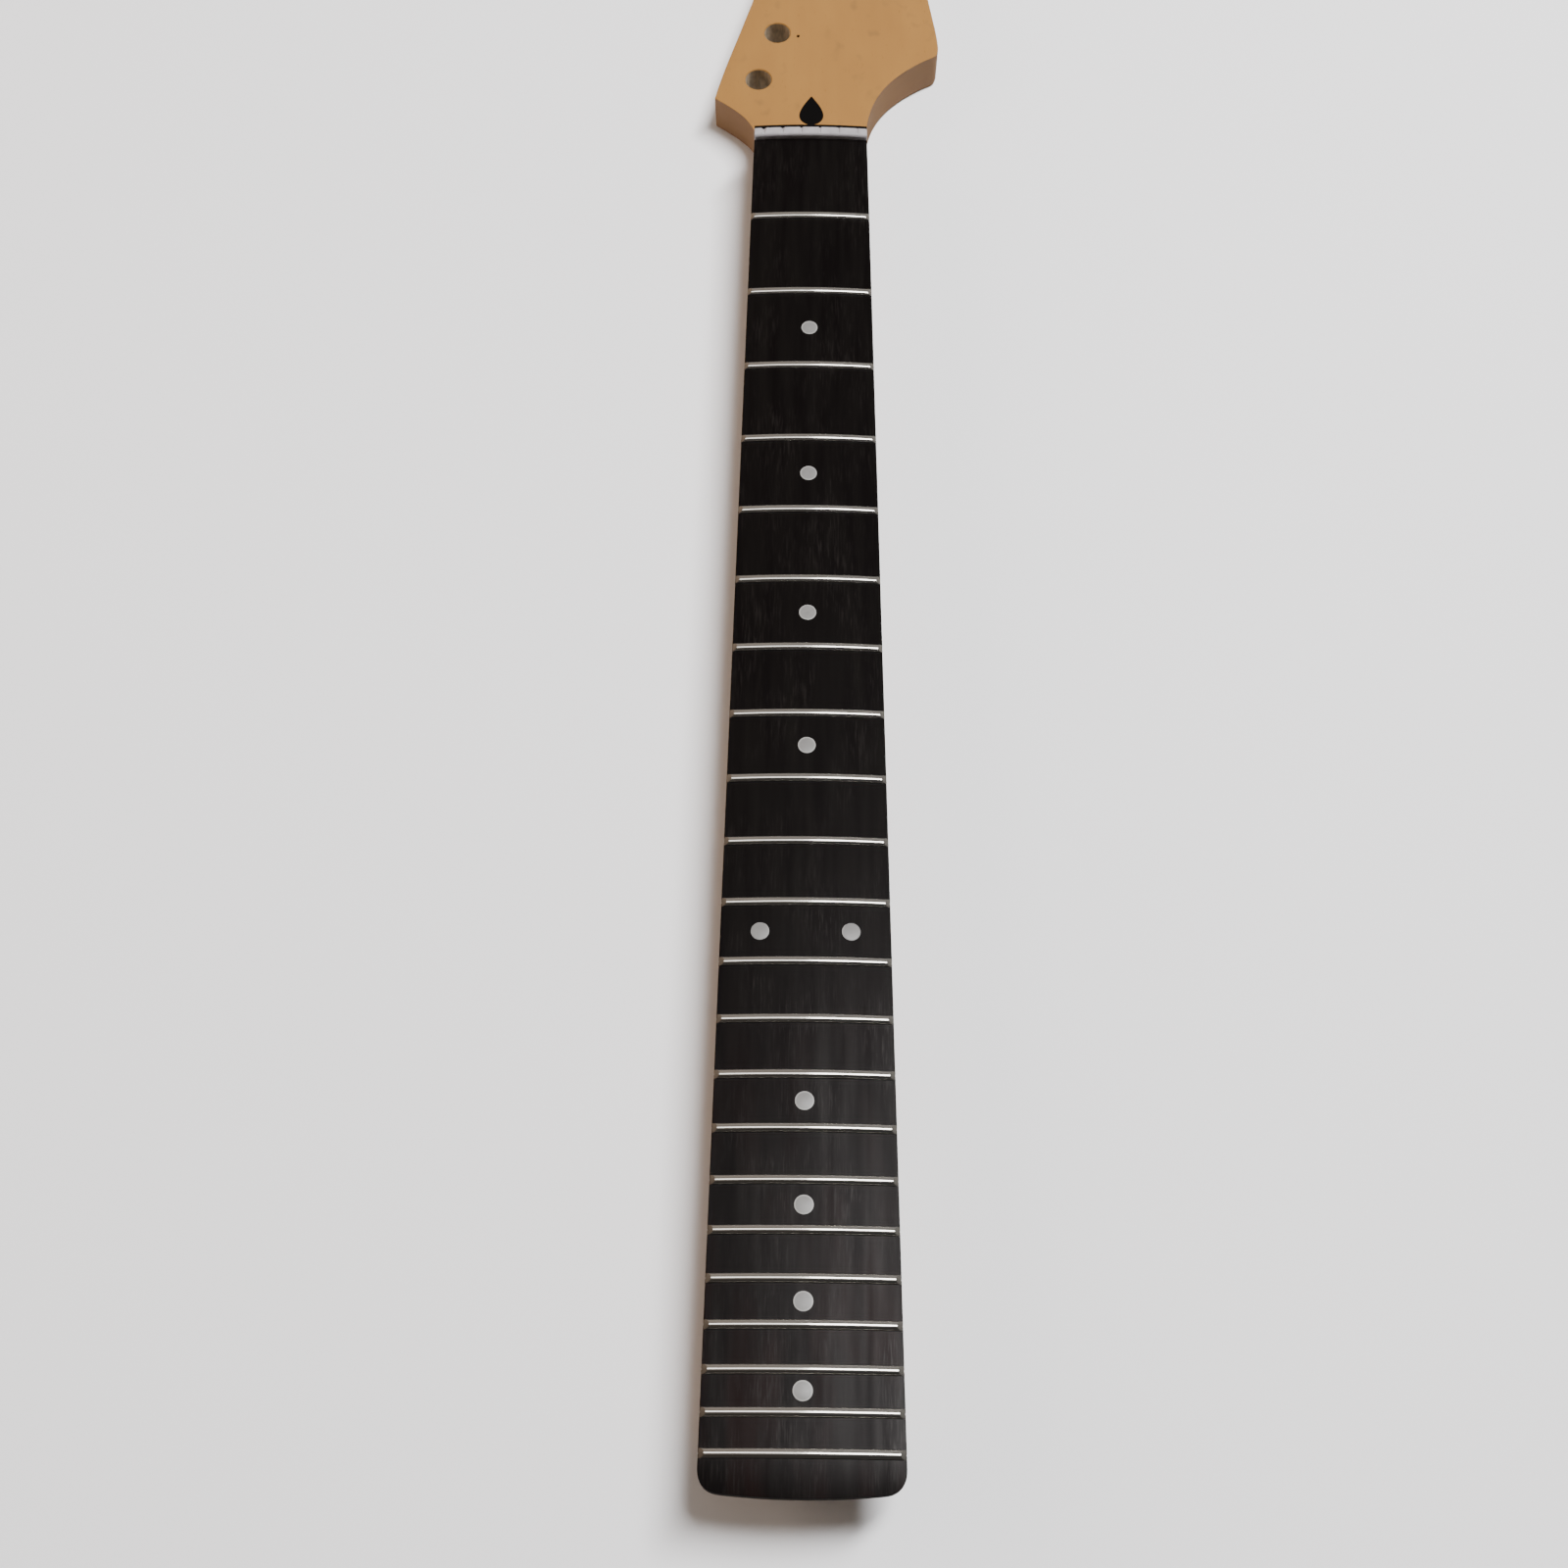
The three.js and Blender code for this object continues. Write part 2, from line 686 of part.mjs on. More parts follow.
function nutSeat() {
  const out = nutWidth / 2 + overrun;
  return block(
    new THREE.Vector3(-out, nutY - fitGap, boardTop - nutSlotBelowBoard),
    new THREE.Vector3(out, nutY + nutThickness + fitGap, boardTop + overrun),
  );
}

// Name, X and Y of every mark on the playing surface
const dotPlaces = [
  ...singleDotFretNumbers.map((fret) => ({ name: twoDigits(fret), x: 0, y: midFretY(fret) })),
  { name: '12_bass', x: -octavePairSpacing / 2, y: midFretY(fretsPerOctave) },
  { name: '12_treble', x: octavePairSpacing / 2, y: midFretY(fretsPerOctave) },
];

const sideDotPlaces = [
  ...singleDotFretNumbers.map((fret) => ({ name: twoDigits(fret), y: midFretY(fret) })),
  { name: '12_nut_side', y: midFretY(fretsPerOctave) + sidePairSpacing / 2 },
  { name: '12_heel_side', y: midFretY(fretsPerOctave) - sidePairSpacing / 2 },
];

function twoDigits(number) {
  return String(number).padStart(2, '0');
}

function dotSolid(place, gap, floorGap) {
  return uprightRound(place.x, place.y, dotDiameter + 2 * gap,
    boardHeight(place.x) - dotThickness - floorGap, boardTop + overrun, roundSegments);
}

function sideDotSolid(place, gap, floorGap) {
  const side = halfWidth(place.y);
  return roundAlongX(place.y, boardTop - sideDotBelowTop, sideDotDiameter + 2 * gap,
    -side - overrun, -side + sideDotDepth + floorGap, smallRoundSegments);
}

function makeFretboard() {
  const cuts = [
    roundAlongX(coveY, boardTop, 2 * coveRadius, -nutWidth, nutWidth, 2 * roundSegments),
    nutSeat(),
    ...Array.from({ length: fretCount }, (_, index) => fretSlot(index + 1)),
    ...dotPlaces.map((place) => dotSolid(place, fitGap, seatGap)),
    ...sideDotPlaces.map((place) => sideDotSolid(place, fitGap, seatGap)),
  ];
  return cuts.reduce((solid, cut) => solid.subtract(cut), boardPrism.intersect(boardSurface));
}

// The wire's section as places along the neck and above the board: crown, then tang
function wireSection() {
  const crownSteps = 6;
  const crown = Array.from({ length: crownSteps + 1 }, (_, step) => {
    const angle = (step / crownSteps) * Math.PI;
    return [
      (crownWidth / 2) * Math.cos(angle),
      crownEdgeHeight + (crownHeight - crownEdgeHeight) * Math.sin(angle),
    ];
  });
  return [
    [crownWidth / 2, 0], ...crown, [-crownWidth / 2, 0], [-tangThickness / 2, 0],
    [-tangThickness / 2, -tangDepth], [tangThickness / 2, -tangDepth], [tangThickness / 2, 0],
  ];
}

function makeFret(number) {
  const y = fretY(number);
  const half = halfWidth(y) - fretEndInset;
  const wire = wireSection();
  const sections = acrossBoard(half, crownBevelRun + fitGap).map((place) => (
    wire.map(([along, up]) => {
      const isEnd = Math.abs(place) === half;
      const bevel = isEnd ? crownBevelRun * (Math.max(up, 0) / crownHeight) : 0;
      const x = place - Math.sign(place) * bevel;
      return new THREE.Vector3(x, y + along, boardHeight(x) + seatGap + up);
    })));
  return loft(sections, seenAlongX);
}

function makeNut() {
  const half = nutWidth / 2 - fretEndInset;
  const bottom = boardTop - nutSlotBelowBoard + seatGap;
  const sections = acrossBoard(half, fitGap).map((x) => {
    const front = boardHeight(x) + nutProud;
    const back = front - nutBackDrop;
    return [
      [0, bottom], [0, front - nutEdgeBreak], [nutEdgeBreak, front],
      [nutThickness - nutEdgeBreak, back], [nutThickness, back - nutEdgeBreak],
      [nutThickness, bottom],
    ].map(([along, z]) => new THREE.Vector3(x, nutY + along, z));
  });
  let solid = toSolid(loft(sections, seenAlongX));
  for (let string = 0; string < stringCount; string += 1) {
    const share = string / (stringCount - 1);
    const x = stringSpread * (share - 1 / 2);
    const width = THREE.MathUtils.lerp(bassNotchWidth, trebleNotchWidth, share);
    const floor = boardHeight(x) + nutProud - nutBackDrop - notchDepth;
    const rise = notchDepth + overrun;
    const out = (width / 2) * (rise / notchDepth);
    const notch = (y) => [
      new THREE.Vector3(x, y, floor),
      new THREE.Vector3(x + out, y, floor + rise),
      new THREE.Vector3(x - out, y, floor + rise),
    ];
    solid = solid.subtract(toSolid(loft(
      [notch(nutY - overrun), notch(nutY + nutThickness + overrun)], seenAlongY)));
  }
  return solid;
}

// Adjusting nut, turned round the rod and crossed by two driver slots at its outer end
function makeAdjuster() {
  const inner = rodRadius + runningGap;
  const outer = adjusterDiameter / 2;
  const outerY = adjusterBackY - adjusterLength;
  const barrel = toSolid(turnedRing([
    [inner, outerY], [outer - adjusterEdgeBreak, outerY], [outer, outerY + adjusterEdgeBreak],
    [outer, adjusterBackY], [inner, adjusterBackY],
  ]));
  const slot = (halfX, halfZ) => block(
    new THREE.Vector3(-halfX, outerY - overrun, rodEndHeight - halfZ),
    new THREE.Vector3(halfX, outerY + driverSlotDepth, rodEndHeight + halfZ),
  );
  return barrel
    .subtract(slot(driverSlotWidth / 2, adjusterDiameter))
    .subtract(slot(adjusterDiameter, driverSlotWidth / 2));
}

function plainRing(inner, outer, fromY, toY) {
  return turnedRing([[inner, fromY], [outer, fromY], [outer, toY], [inner, toY]]);
}

const boreRadius = rodRadius + runningGap;
const anchorEndY = nutY + rodPastNut;
const guitarNeck = new THREE.Group();

function addPiece(name, shape, material) {
  const mesh = new THREE.Mesh(shape.isBufferGeometry ? shape : toGeometry(shape), material);
  mesh.name = name;
  guitarNeck.add(mesh);
}

addPiece('neck', makeNeck(), maple);
addPiece('fretboard', makeFretboard(), rosewood);
for (let number = 1; number <= fretCount; number += 1) {
  addPiece(`fret_${twoDigits(number)}`, makeFret(number), fretWire);
}
addPiece('nut', makeNut(), bone);
dotPlaces.forEach((place) => {
  addPiece(`inlay_dot_${place.name}`, dotSolid(place, 0, 0).intersect(boardSurface), markGrey);
});
sideDotPlaces.forEach((place) => {
  addPiece(`side_dot_${place.name}`, sideDotSolid(place, 0, 0).intersect(boardPrism), markGrey);
});
addPiece('teardrop_plug', makePlug(), ebony);
addPiece('skunk_stripe', makeStripe(), walnut);
addPiece('truss_rod', makeTrussRod(), steel);
addPiece('rod_anchor',
  plainRing(boreRadius, anchorDiameter / 2, anchorEndY - anchorLength, anchorEndY), steel);
addPiece('rod_ferrule',
  plainRing(boreRadius, pocketDiameter / 2 - fitGap, ferruleFaceY, pocketFloorY - seatGap), steel);
addPiece('thrust_washer',
  plainRing(boreRadius, washerDiameter / 2, washerBackY - washerThickness, washerBackY), steel);
addPiece('adjusting_nut', makeAdjuster(), steel);

export default guitarNeck;
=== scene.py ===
"""Finished looks of a bolt-on electric guitar neck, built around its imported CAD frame."""

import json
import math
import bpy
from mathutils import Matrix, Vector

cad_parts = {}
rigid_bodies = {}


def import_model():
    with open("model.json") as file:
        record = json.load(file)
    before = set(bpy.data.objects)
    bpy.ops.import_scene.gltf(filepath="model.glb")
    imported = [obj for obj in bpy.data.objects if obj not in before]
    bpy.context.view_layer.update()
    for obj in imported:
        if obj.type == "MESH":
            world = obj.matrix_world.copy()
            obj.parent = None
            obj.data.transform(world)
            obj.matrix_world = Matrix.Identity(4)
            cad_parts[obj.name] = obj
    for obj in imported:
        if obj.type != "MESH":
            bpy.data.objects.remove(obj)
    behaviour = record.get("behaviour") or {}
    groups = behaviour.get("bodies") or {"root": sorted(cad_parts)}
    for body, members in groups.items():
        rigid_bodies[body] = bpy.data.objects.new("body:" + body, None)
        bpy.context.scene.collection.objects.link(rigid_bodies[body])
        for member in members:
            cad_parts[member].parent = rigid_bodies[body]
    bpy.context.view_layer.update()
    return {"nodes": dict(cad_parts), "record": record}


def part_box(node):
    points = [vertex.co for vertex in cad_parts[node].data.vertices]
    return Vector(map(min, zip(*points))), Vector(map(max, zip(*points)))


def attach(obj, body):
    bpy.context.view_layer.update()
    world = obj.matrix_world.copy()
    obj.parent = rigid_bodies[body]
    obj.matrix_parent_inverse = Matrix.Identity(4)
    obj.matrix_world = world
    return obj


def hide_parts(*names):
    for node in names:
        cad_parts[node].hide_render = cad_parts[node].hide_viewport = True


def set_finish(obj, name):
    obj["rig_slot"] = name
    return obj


bl_info = {
    "name": "Electric Guitar Neck",
    "version": (1, 0, 0),
    "blender": (4, 5, 0),
    "location": "3D View > Sidebar > Guitar Neck",
    "description": "Builds the finished pieces and materials of a bolt-on electric guitar neck",
    "category": "Add Mesh",
}

import bmesh
import bpy
from bpy.props import FloatProperty, FloatVectorProperty, PointerProperty
from mathutils import Vector
from mathutils.geometry import interpolate_bezier

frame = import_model()

MM = 0.001
X_AXIS, Y_AXIS, Z_AXIS = Vector((1, 0, 0)), Vector((0, 1, 0)), Vector((0, 0, 1))

# Places that the CAD frame gives
(_, NUT_FRONT, NUT_BOTTOM), (NUT_OUT, NUT_BACK, _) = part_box("nut")
(_, BOARD_END, BOARD_BOTTOM), (_, _, BOARD_TOP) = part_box("fretboard")
HEEL_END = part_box("neck")[0].y
SEAT_END = -HEEL_END
FRETS = [f"fret_{number:02d}" for number in range(1, 23)]
DOTS, SIDE_DOTS = (sorted(name for name in frame["nodes"] if name.startswith(kind))
                   for kind in ("inlay_dot_", "side_dot_"))

# Maple blank
MAPLE_TOP = 19.05 * MM
HEAD_THICK = 15.2 * MM
FIRST_DEPTH = 21 * MM
TWELFTH_DEPTH = 22.9 * MM
HEEL_EDGE = 1.5 * MM
HEAD_BACK_EDGE = 1.3 * MM
HEAD_FACE_EDGE = 0.7 * MM
BACK_END_EDGE = 1 * MM
HEEL_CORNER = 5 * MM
HEEL_CURVE = 34 * MM
HEAD_CURVE = 22 * MM
BACK_FULLNESS = 2.3
TAIL_PAST_NUT = 6.8 * MM
FLARE_PAST_NUT = 8 * MM
COVE_RADIUS = BOARD_TOP - HEAD_THICK
COVE_Y = NUT_FRONT + TAIL_PAST_NUT + COVE_RADIUS
COVE_REACH, COVE_LENGTH = 70 * MM, 210 * MM
LOFT_PAST_NUT = 196 * MM
OVERRUN = 3 * MM
WELD = 0.001 * MM
SHARP_ANGLE = math.radians(32)

# Truss rod pocket, heel screws and headstock holes
ROD_HEIGHT = 10.5 * MM
POCKET_ACROSS = 9.6 * MM
POCKET_DEPTH = 14 * MM
ROD_BORE = 5.36 * MM
SCREW_ACROSS, SCREW_ALONG = 38.1 * MM, 50.8 * MM
PILOT_ACROSS, PILOT_DEPTH = 3.2 * MM, 16 * MM
TUNER_ACROSS, TUNER_STEP = 10 * MM, 25.1 * MM
TUNER_LINE = 16.2  # degrees off the neck's axis
POCKET_RIM, PILOT_RIM, TUNER_RIM, LINE_HOLE_RIM = 0.4 * MM, 0.3 * MM, 0.35 * MM, 0.1 * MM
FIRST_TUNER = Vector((-20.2, 39.1)) * MM
FIRST_EDGE, LAST_EDGE = 13.9 * MM, 14.8 * MM
TUNERS = 6
LINE_HOLE = Vector((-5.1, 61.5)) * MM
LINE_HOLE_ACROSS, LINE_HOLE_DEPTH = 1.2 * MM, 4 * MM
BASS_CORNER = Vector((-36.7, 29.3)) * MM
TREBLE_BEND = Vector((44, 49)) * MM
LOBE = Vector((49.4, 56)) * MM
FAR_SIDE_END = Vector((35.4, 157)) * MM
FAR_SIDE_WAY = 176  # degrees, from the tip back along the treble side
TIP_PAST_LAST_HOLE = 22 * MM
TIP_CORNER = 11 * MM

# Plug, filler strip and truss rod
PLUG_ACROSS, PLUG_DEPTH, PLUG_X = 9.1 * MM, 7 * MM, 0.27 * MM
PLUG_PAST_NUT, PLUG_TIP_PAST_NUT = 20.9 * MM, 30.6 * MM
STRIPE_ACROSS, STRIPE_START, STRIPE_END = 6.4 * MM, 6 * MM, NUT_FRONT - 16 * MM
ROD_RADIUS, ROD_LOW = 2.38 * MM, 8.5 * MM
ADJUSTER_NOSE, ADJUSTER_LEAD_IN = 0.8 * MM, 0.5 * MM
WASHER_EDGE, STEEL_EDGE = 0.15 * MM, 0.3 * MM
DRIVER_ACROSS, DRIVER_DEPTH = 1.3 * MM, 2.6 * MM

# Frets, dots and fits
SLOT_ACROSS, SLOT_SPARE = 0.58 * MM, 0.15 * MM
CROWN_FOOT = 0.15 * MM
FRET_END_ROUND = 0.12 * MM
DOT_DEPTH, SIDE_DOT_DEPTH = 1.52 * MM, 1.42 * MM
DOT_PROUD, DOT_GAP, DOT_EASE, DOT_RIM = 0.01 * MM, 0.02 * MM, 0.15 * MM, 0.12 * MM
NOTCH_ROUND, NOTCH_FALL_OFF = 0.16, 0.6
GAP, SEAT_GAP, RUNNING_GAP = 0.05 * MM, 0.02 * MM, 0.08 * MM

# Floor and camera, from the fit of the photo
FLOOR_HEIGHT = -0.05 * MM
CAMERA_PLACE = Vector((-2.967, -99.208, 586.567)) * MM
CAMERA_SHIFT = (-0.00055, 0.0005)
CAMERA_TURN = tuple(math.radians(turn) for turn in (24.8143, 0.1204, 0.5939))


def colour(hex_colour):
    """An sRGB hex colour as the linear numbers that Blender's colour sockets take."""
    parts = [int(hex_colour[i:i + 2], 16) / 255 for i in (1, 3, 5)]
    return (*[p / 12.92 if p <= 0.04045 else ((p + 0.055) / 1.055) ** 2.4 for p in parts], 1.0)


def length(label, description, millimetres):
    return FloatProperty(
        name=label, description=description, default=millimetres * MM, min=0.0, unit="LENGTH",
        precision=5)


def tint(label, description, hex_colour):
    return FloatVectorProperty(
        name=label, description=description, default=colour(hex_colour),
        size=4, min=0.0, max=1.0, subtype="COLOR")


def watts(label, description, default):
    return FloatProperty(name=label, description=description, default=default, min=0.0, unit="POWER")


class NeckSizes(bpy.types.PropertyGroup):
    """Widths and radius of the neck and its fretboard."""

    nut_width: length("Nut width", "Width of the neck at the nut", 42)
    heel_width: length("Last fret width", "Width of the fretboard at its last fret", 57)
    board_radius: length("Fretboard radius", "Radius of the playing surface", 241.3)
    board_edge: length("Fretboard edge", "Rounding of the fretboard's long edges", 0.35)
    end_crown: length("End crown", "How far the middle of the heel end stands out", 1.8)
    end_corner: length("End corner", "Corner rounding of the fretboard's heel end", 6)


class FretSizes(bpy.types.PropertyGroup):
    """Fret wire."""

    crown_width: length("Crown width", "Width of the fret's crown on the board", 2.7)
    crown_height: length("Crown height", "Height of the crown above the board", 1.1)
    end_bevel: length("End bevel", "How far the filed end leans in over the crown", 1.3)
    tang_thickness: length("Tang thickness", "Thickness of the wire's tang", 0.5)
    tang_depth: length("Tang depth", "Depth of the tang in its slot", 1.6)


class NutSizes(bpy.types.PropertyGroup):
    """String nut."""

    proud: length("Height over board", "Height of the nut's front above the board", 2.7)
    back_drop: length("Back drop", "How much lower the nut is at the headstock side", 0.7)
    edge: length("Edge rounding", "Rounding of the nut's edges", 0.45)
    front_edge: length("Front edge", "Rounding of the nut's upper front edge", 1.5)
    spread: length("String spread", "Distance between the two outer strings", 35)
    bass_notch: length("Bass notch", "Width of the widest string notch", 2)
    treble_notch: length("Treble notch", "Width of the narrowest string notch", 0.7)
    notch_depth: length("Notch depth", "Depth of the widest notch at the headstock side", 1)
    front_notch: length("Front notch", "Depth of a notch at the board's side", 0.25)


class NeckColours(bpy.types.PropertyGroup):
    """Colours of the woods, plastics and metals."""

    maple: tint("Maple", "Amber-tinted maple between its grain lines", "#8d6636")
    maple_grain: tint("Maple grain", "Darker grain of the maple", "#855f33")
    # Upright maple faces: a deeper tint plus painted shade of walls turned from the light.
    maple_side_and_shade: tint("Maple sides", "Sawn sides of the maple, which took more tint", "#7f6248")
    rosewood: tint("Rosewood", "Oiled fretboard wood", "#070505")
    rosewood_streak: tint("Rosewood streak", "Lighter streaks in the fretboard", "#0c0a09")
    rosewood_fleck: tint("Rosewood fleck", "Short fine flecks in the fretboard", "#171413")
    rosewood_red: tint("Rosewood red", "Reddish zones of the fretboard near the heel", "#130807")
    fret_wire: tint("Fret wire", "Polished nickel silver", "#ddd9d2")
    nut: tint("Nut", "Off-white polished plastic", "#989497")
    dot: tint("Position dots", "Grey-white plastic", "#737271")
    plug: tint("Plug", "Black-dyed hardwood", "#090808")
    walnut: tint("Walnut", "Filler strip in the back", "#4d3121")
    steel: tint("Steel", "Truss rod and its nut", "#a5a4a6")


class StageSettings(bpy.types.PropertyGroup):
    """Floor and soft lights."""

    floor: tint("Floor", "Plain pale floor", "#ededef")
    key_power: watts("Key light", "Power of the soft light overhead", 104.0)
    side_power: watts("Side light", "Power of the low warm light on the bass side", 62.0)
    ceiling_power: watts("Ceiling", "Power of the dim panel that the fretboard mirrors", 31.0)
    side_tint: tint("Side light colour", "Colour of the low light on the bass side", "#8a7d72")
    room: tint("Room", "Warm light of the room on the bass side", "#8a7a6c")
    far_room: tint("Far room", "Light of the room on the other sides", "#7f7d7b")
    focal: FloatProperty(
        name="Focal length", description="Focal length of the camera", default=44.98,
        min=1.0, unit="CAMERA")


# Shape helpers

def soften(mesh):
    """Gives a mesh soft shading across its gentle edges."""
    mesh.shade_smooth()
    mesh.set_sharp_from_angle(angle=SHARP_ANGLE)


def put(name, data):
    """A new object in the scene."""
    item = bpy.data.objects.new(name, data)
    bpy.context.scene.collection.objects.link(item)
    return item


def add_object(name, bm):
    """Makes a shaped mesh into an object."""
    mesh = bpy.data.meshes.new(name)
    bm.to_mesh(mesh)
    bm.free()
    soften(mesh)
    return put(name, mesh)


def prism(outline, along):
    """A flat outline, drawn out along a vector to a closed body."""
    bm = bmesh.new()
    face = bm.faces.new([bm.verts.new(place) for place in outline])
    drawn = bmesh.ops.extrude_face_region(bm, geom=[face])
    moved = [item for item in drawn["geom"] if isinstance(item, bmesh.types.BMVert)]
    bmesh.ops.translate(bm, verts=moved, vec=along)
    bmesh.ops.recalc_face_normals(bm, faces=bm.faces)
    return bm


def turned(shape, place, axis, steps=64, ring=False):
    """Spins radius and distance pairs a full turn about an axis; a ring's shape is closed."""
    bm = bmesh.new()
    out = axis.orthogonal().normalized()
    verts = [bm.verts.new(place + out * radius + axis * along) for radius, along in shape]
    ends = zip(verts, verts[1:] + verts[:1]) if ring else zip(verts, verts[1:])
    edges = [bm.edges.new(pair) for pair in ends]
    bmesh.ops.spin(bm, geom=verts + edges, cent=place, axis=axis, angle=math.tau, steps=steps,
                   use_merge=True)
    bmesh.ops.remove_doubles(bm, verts=bm.verts, dist=WELD)
    bmesh.ops.recalc_face_normals(bm, faces=bm.faces)
    return bm


def loft(sections):
    """A closed body through rings; each ring starts as a circle whose points are placed."""
    bm = bmesh.new()
    rings = []
    for places in sections:
        made = bmesh.ops.create_circle(bm, segments=len(places), radius=1)
        for vert, place in zip(made["verts"], places):
            vert.co = place
        rings.append(list({edge for vert in made["verts"] for edge in vert.link_edges}))
    for before, after in zip(rings, rings[1:]):
        bmesh.ops.bridge_loops(bm, edges=before + after)
    for ring in (rings[0], rings[-1]):
        bmesh.ops.edgeloop_fill(bm, edges=ring)
    bmesh.ops.recalc_face_normals(bm, faces=bm.faces)
    return bm


def slice_off(bm, place, normal):
    """Cuts away what lies on the normal's side of a plane and closes the cut."""
    cut = bmesh.ops.bisect_plane(
        bm, geom=bm.verts[:] + bm.edges[:] + bm.faces[:], dist=1e-8, plane_co=place,
        plane_no=normal, clear_outer=True)
    edges = [item for item in cut["geom_cut"] if isinstance(item, bmesh.types.BMEdge)]
    bmesh.ops.edgeloop_fill(bm, edges=edges)


def ease_end(bm, place, out):
    """Rounds the lower edge of an upright end face; the place is on it, on the flat back."""
    centre = place + (Z_AXIS - out) * BACK_END_EDGE
    for degrees in (22.5, 45, 67.5):
        turn = math.radians(degrees)
        facing = out * math.cos(turn) - Z_AXIS * math.sin(turn)
        slice_off(bm, centre + facing * BACK_END_EDGE, facing)


def round_edges(bm, edges, width, segments=3):
    bmesh.ops.bevel(
        bm, geom=edges, offset=width, offset_type="OFFSET", affect="EDGES",
        segments=segments, profile=0.5, material=-1, clamp_overlap=True)


def combine(piece, operation, shapes):
    """Cuts, or keeps, what a piece shares with other shapes, which are then removed."""
    group = bpy.data.collections.new("shapes")
    bpy.context.scene.collection.children.link(group)
    tools = [shape if isinstance(shape, bpy.types.Object) else add_object("tool", shape)
             for shape in shapes]
    for tool in tools:
        group.objects.link(tool)
    for closed in (piece, *tools):
        must_be_closed(closed)
    cut = piece.modifiers.new("Cut", "BOOLEAN")
    cut.operation, cut.solver = operation, "MANIFOLD"
    cut.operand_type, cut.collection = "COLLECTION", group
    settle(piece)
    for tool in tools:
        bpy.data.objects.remove(tool)
    bpy.data.collections.remove(group)


def must_be_closed(piece):
    """Stops the build if a mesh has an edge without a face on each side."""
    bm = bmesh.new()
    bm.from_mesh(piece.data)
    torn = [edge for edge in bm.edges if not edge.is_manifold]
    if torn:
        raise RuntimeError(f"{piece.name} has {len(torn)} open edges near {torn[0].verts[0].co}")
    bm.free()


def settle(piece):
    """Applies a piece's modifiers to its mesh."""
    depsgraph = bpy.context.evaluated_depsgraph_get()
    depsgraph.update()
    made = bpy.data.meshes.new_from_object(piece.evaluated_get(depsgraph))
    made.name = piece.data.name
    piece.modifiers.clear()
    piece.data = made
    soften(made)


def dress(piece, body, slot, *nodes):
    """Ties a finished piece to its body, its finish and the CAD nodes that it stands for."""
    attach(piece, body)
    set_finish(piece, slot)
    if nodes:
        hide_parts(*nodes)


# Shape of the neck

def spread(start, end, steps):
    """Evenly spaced values from a start to an end, with both."""
    return [start + (end - start) * step / steps for step in range(steps + 1)]


def middle_of(name):
    return sum(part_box(name), Vector()) / 2


def half_width(y):
    sizes = bpy.context.scene.neck_sizes
    along = max(0.0, NUT_FRONT - y) / (NUT_FRONT - middle_of(FRETS[-1]).y)
    return (sizes.nut_width + (sizes.heel_width - sizes.nut_width) * along) / 2


def wall_slope():
    """How much half the width grows for each length towards the heel."""
    return (half_width(0) - half_width(1 * MM)) / (1 * MM)


def board_height(x):
    radius = bpy.context.scene.neck_sizes.board_radius
    return BOARD_TOP - radius + math.sqrt(radius ** 2 - x ** 2)


def smoothstep(value, start, end):
    share = min(1.0, max(0.0, (value - start) / (end - start)))
    return share * share * (3 - 2 * share)


def heading(degrees, size=1.0):
    turn = math.radians(degrees)
    return Vector((math.sin(turn), math.cos(turn))) * size


def along_tuners(distance, outward=0.0):
    """A place on the headstock, from the first tuner hole and in X and distance past the nut."""
    line = heading(TUNER_LINE)
    return FIRST_TUNER + line * distance + Vector((-line.y, line.x)) * outward


def tuner_holes():
    return [along_tuners(TUNER_STEP * number) for number in range(TUNERS)]


def on_head(place, height=0.0):
    """A place given in X and distance past the nut, in the frame."""
    return Vector((place.x, NUT_FRONT + place.y, height))


def headstock_side(curves, past_nut):
    """How far out a side of the headstock is at a distance past the nut."""
    points = [point for curve in curves for point in curve]
    past_nut = max(past_nut, points[0].y)
    low, high = next((pair for pair in zip(points, points[1:])
                      if pair[0].y <= past_nut <= pair[1].y), points[-2:])
    return low.x + (high.x - low.x) * (past_nut - low.y) / max(high.y - low.y, 1e-9)


def bezier(start, start_pull, end_pull, end, points=28):
    flat = [place.to_3d() for place in (start, start_pull, end_pull, end)]
    return [place.to_2d() for place in interpolate_bezier(*flat, points)]


def bass_curves():
    top = along_tuners(TUNER_STEP, FIRST_EDGE)
    tip = along_tuners(TUNER_STEP * TUNERS, LAST_EDGE)
    line = (tip - top).normalized()
    start = Vector((-bpy.context.scene.neck_sizes.nut_width / 2, FLARE_PAST_NUT))
    return [
        bezier(start, start + heading(0, 9.9 * MM), BASS_CORNER - heading(-54, 11.9 * MM),
               BASS_CORNER),
        bezier(BASS_CORNER, BASS_CORNER + heading(12, 14 * MM), top - line * 14 * MM, top), [top, tip],
    ]


def treble_curves():
    start = Vector((bpy.context.scene.neck_sizes.nut_width / 2, FLARE_PAST_NUT))
    return [
        bezier(start, start + heading(0, 20 * MM), TREBLE_BEND - heading(58, 18.2 * MM),
               TREBLE_BEND),
        bezier(TREBLE_BEND, TREBLE_BEND + heading(58, 4 * MM), LOBE - heading(0, 5.5 * MM), LOBE),
        bezier(LOBE, LOBE + heading(0, 9 * MM), FAR_SIDE_END + heading(FAR_SIDE_WAY, 34 * MM),
               FAR_SIDE_END),
    ]


def shaft_bottom(y):
    first, twelfth = middle_of("fret_01").y, middle_of("fret_12").y
    along = (y - twelfth) / (first - twelfth)
    return BOARD_TOP - (TWELFTH_DEPTH + (FIRST_DEPTH - TWELFTH_DEPTH) * along)


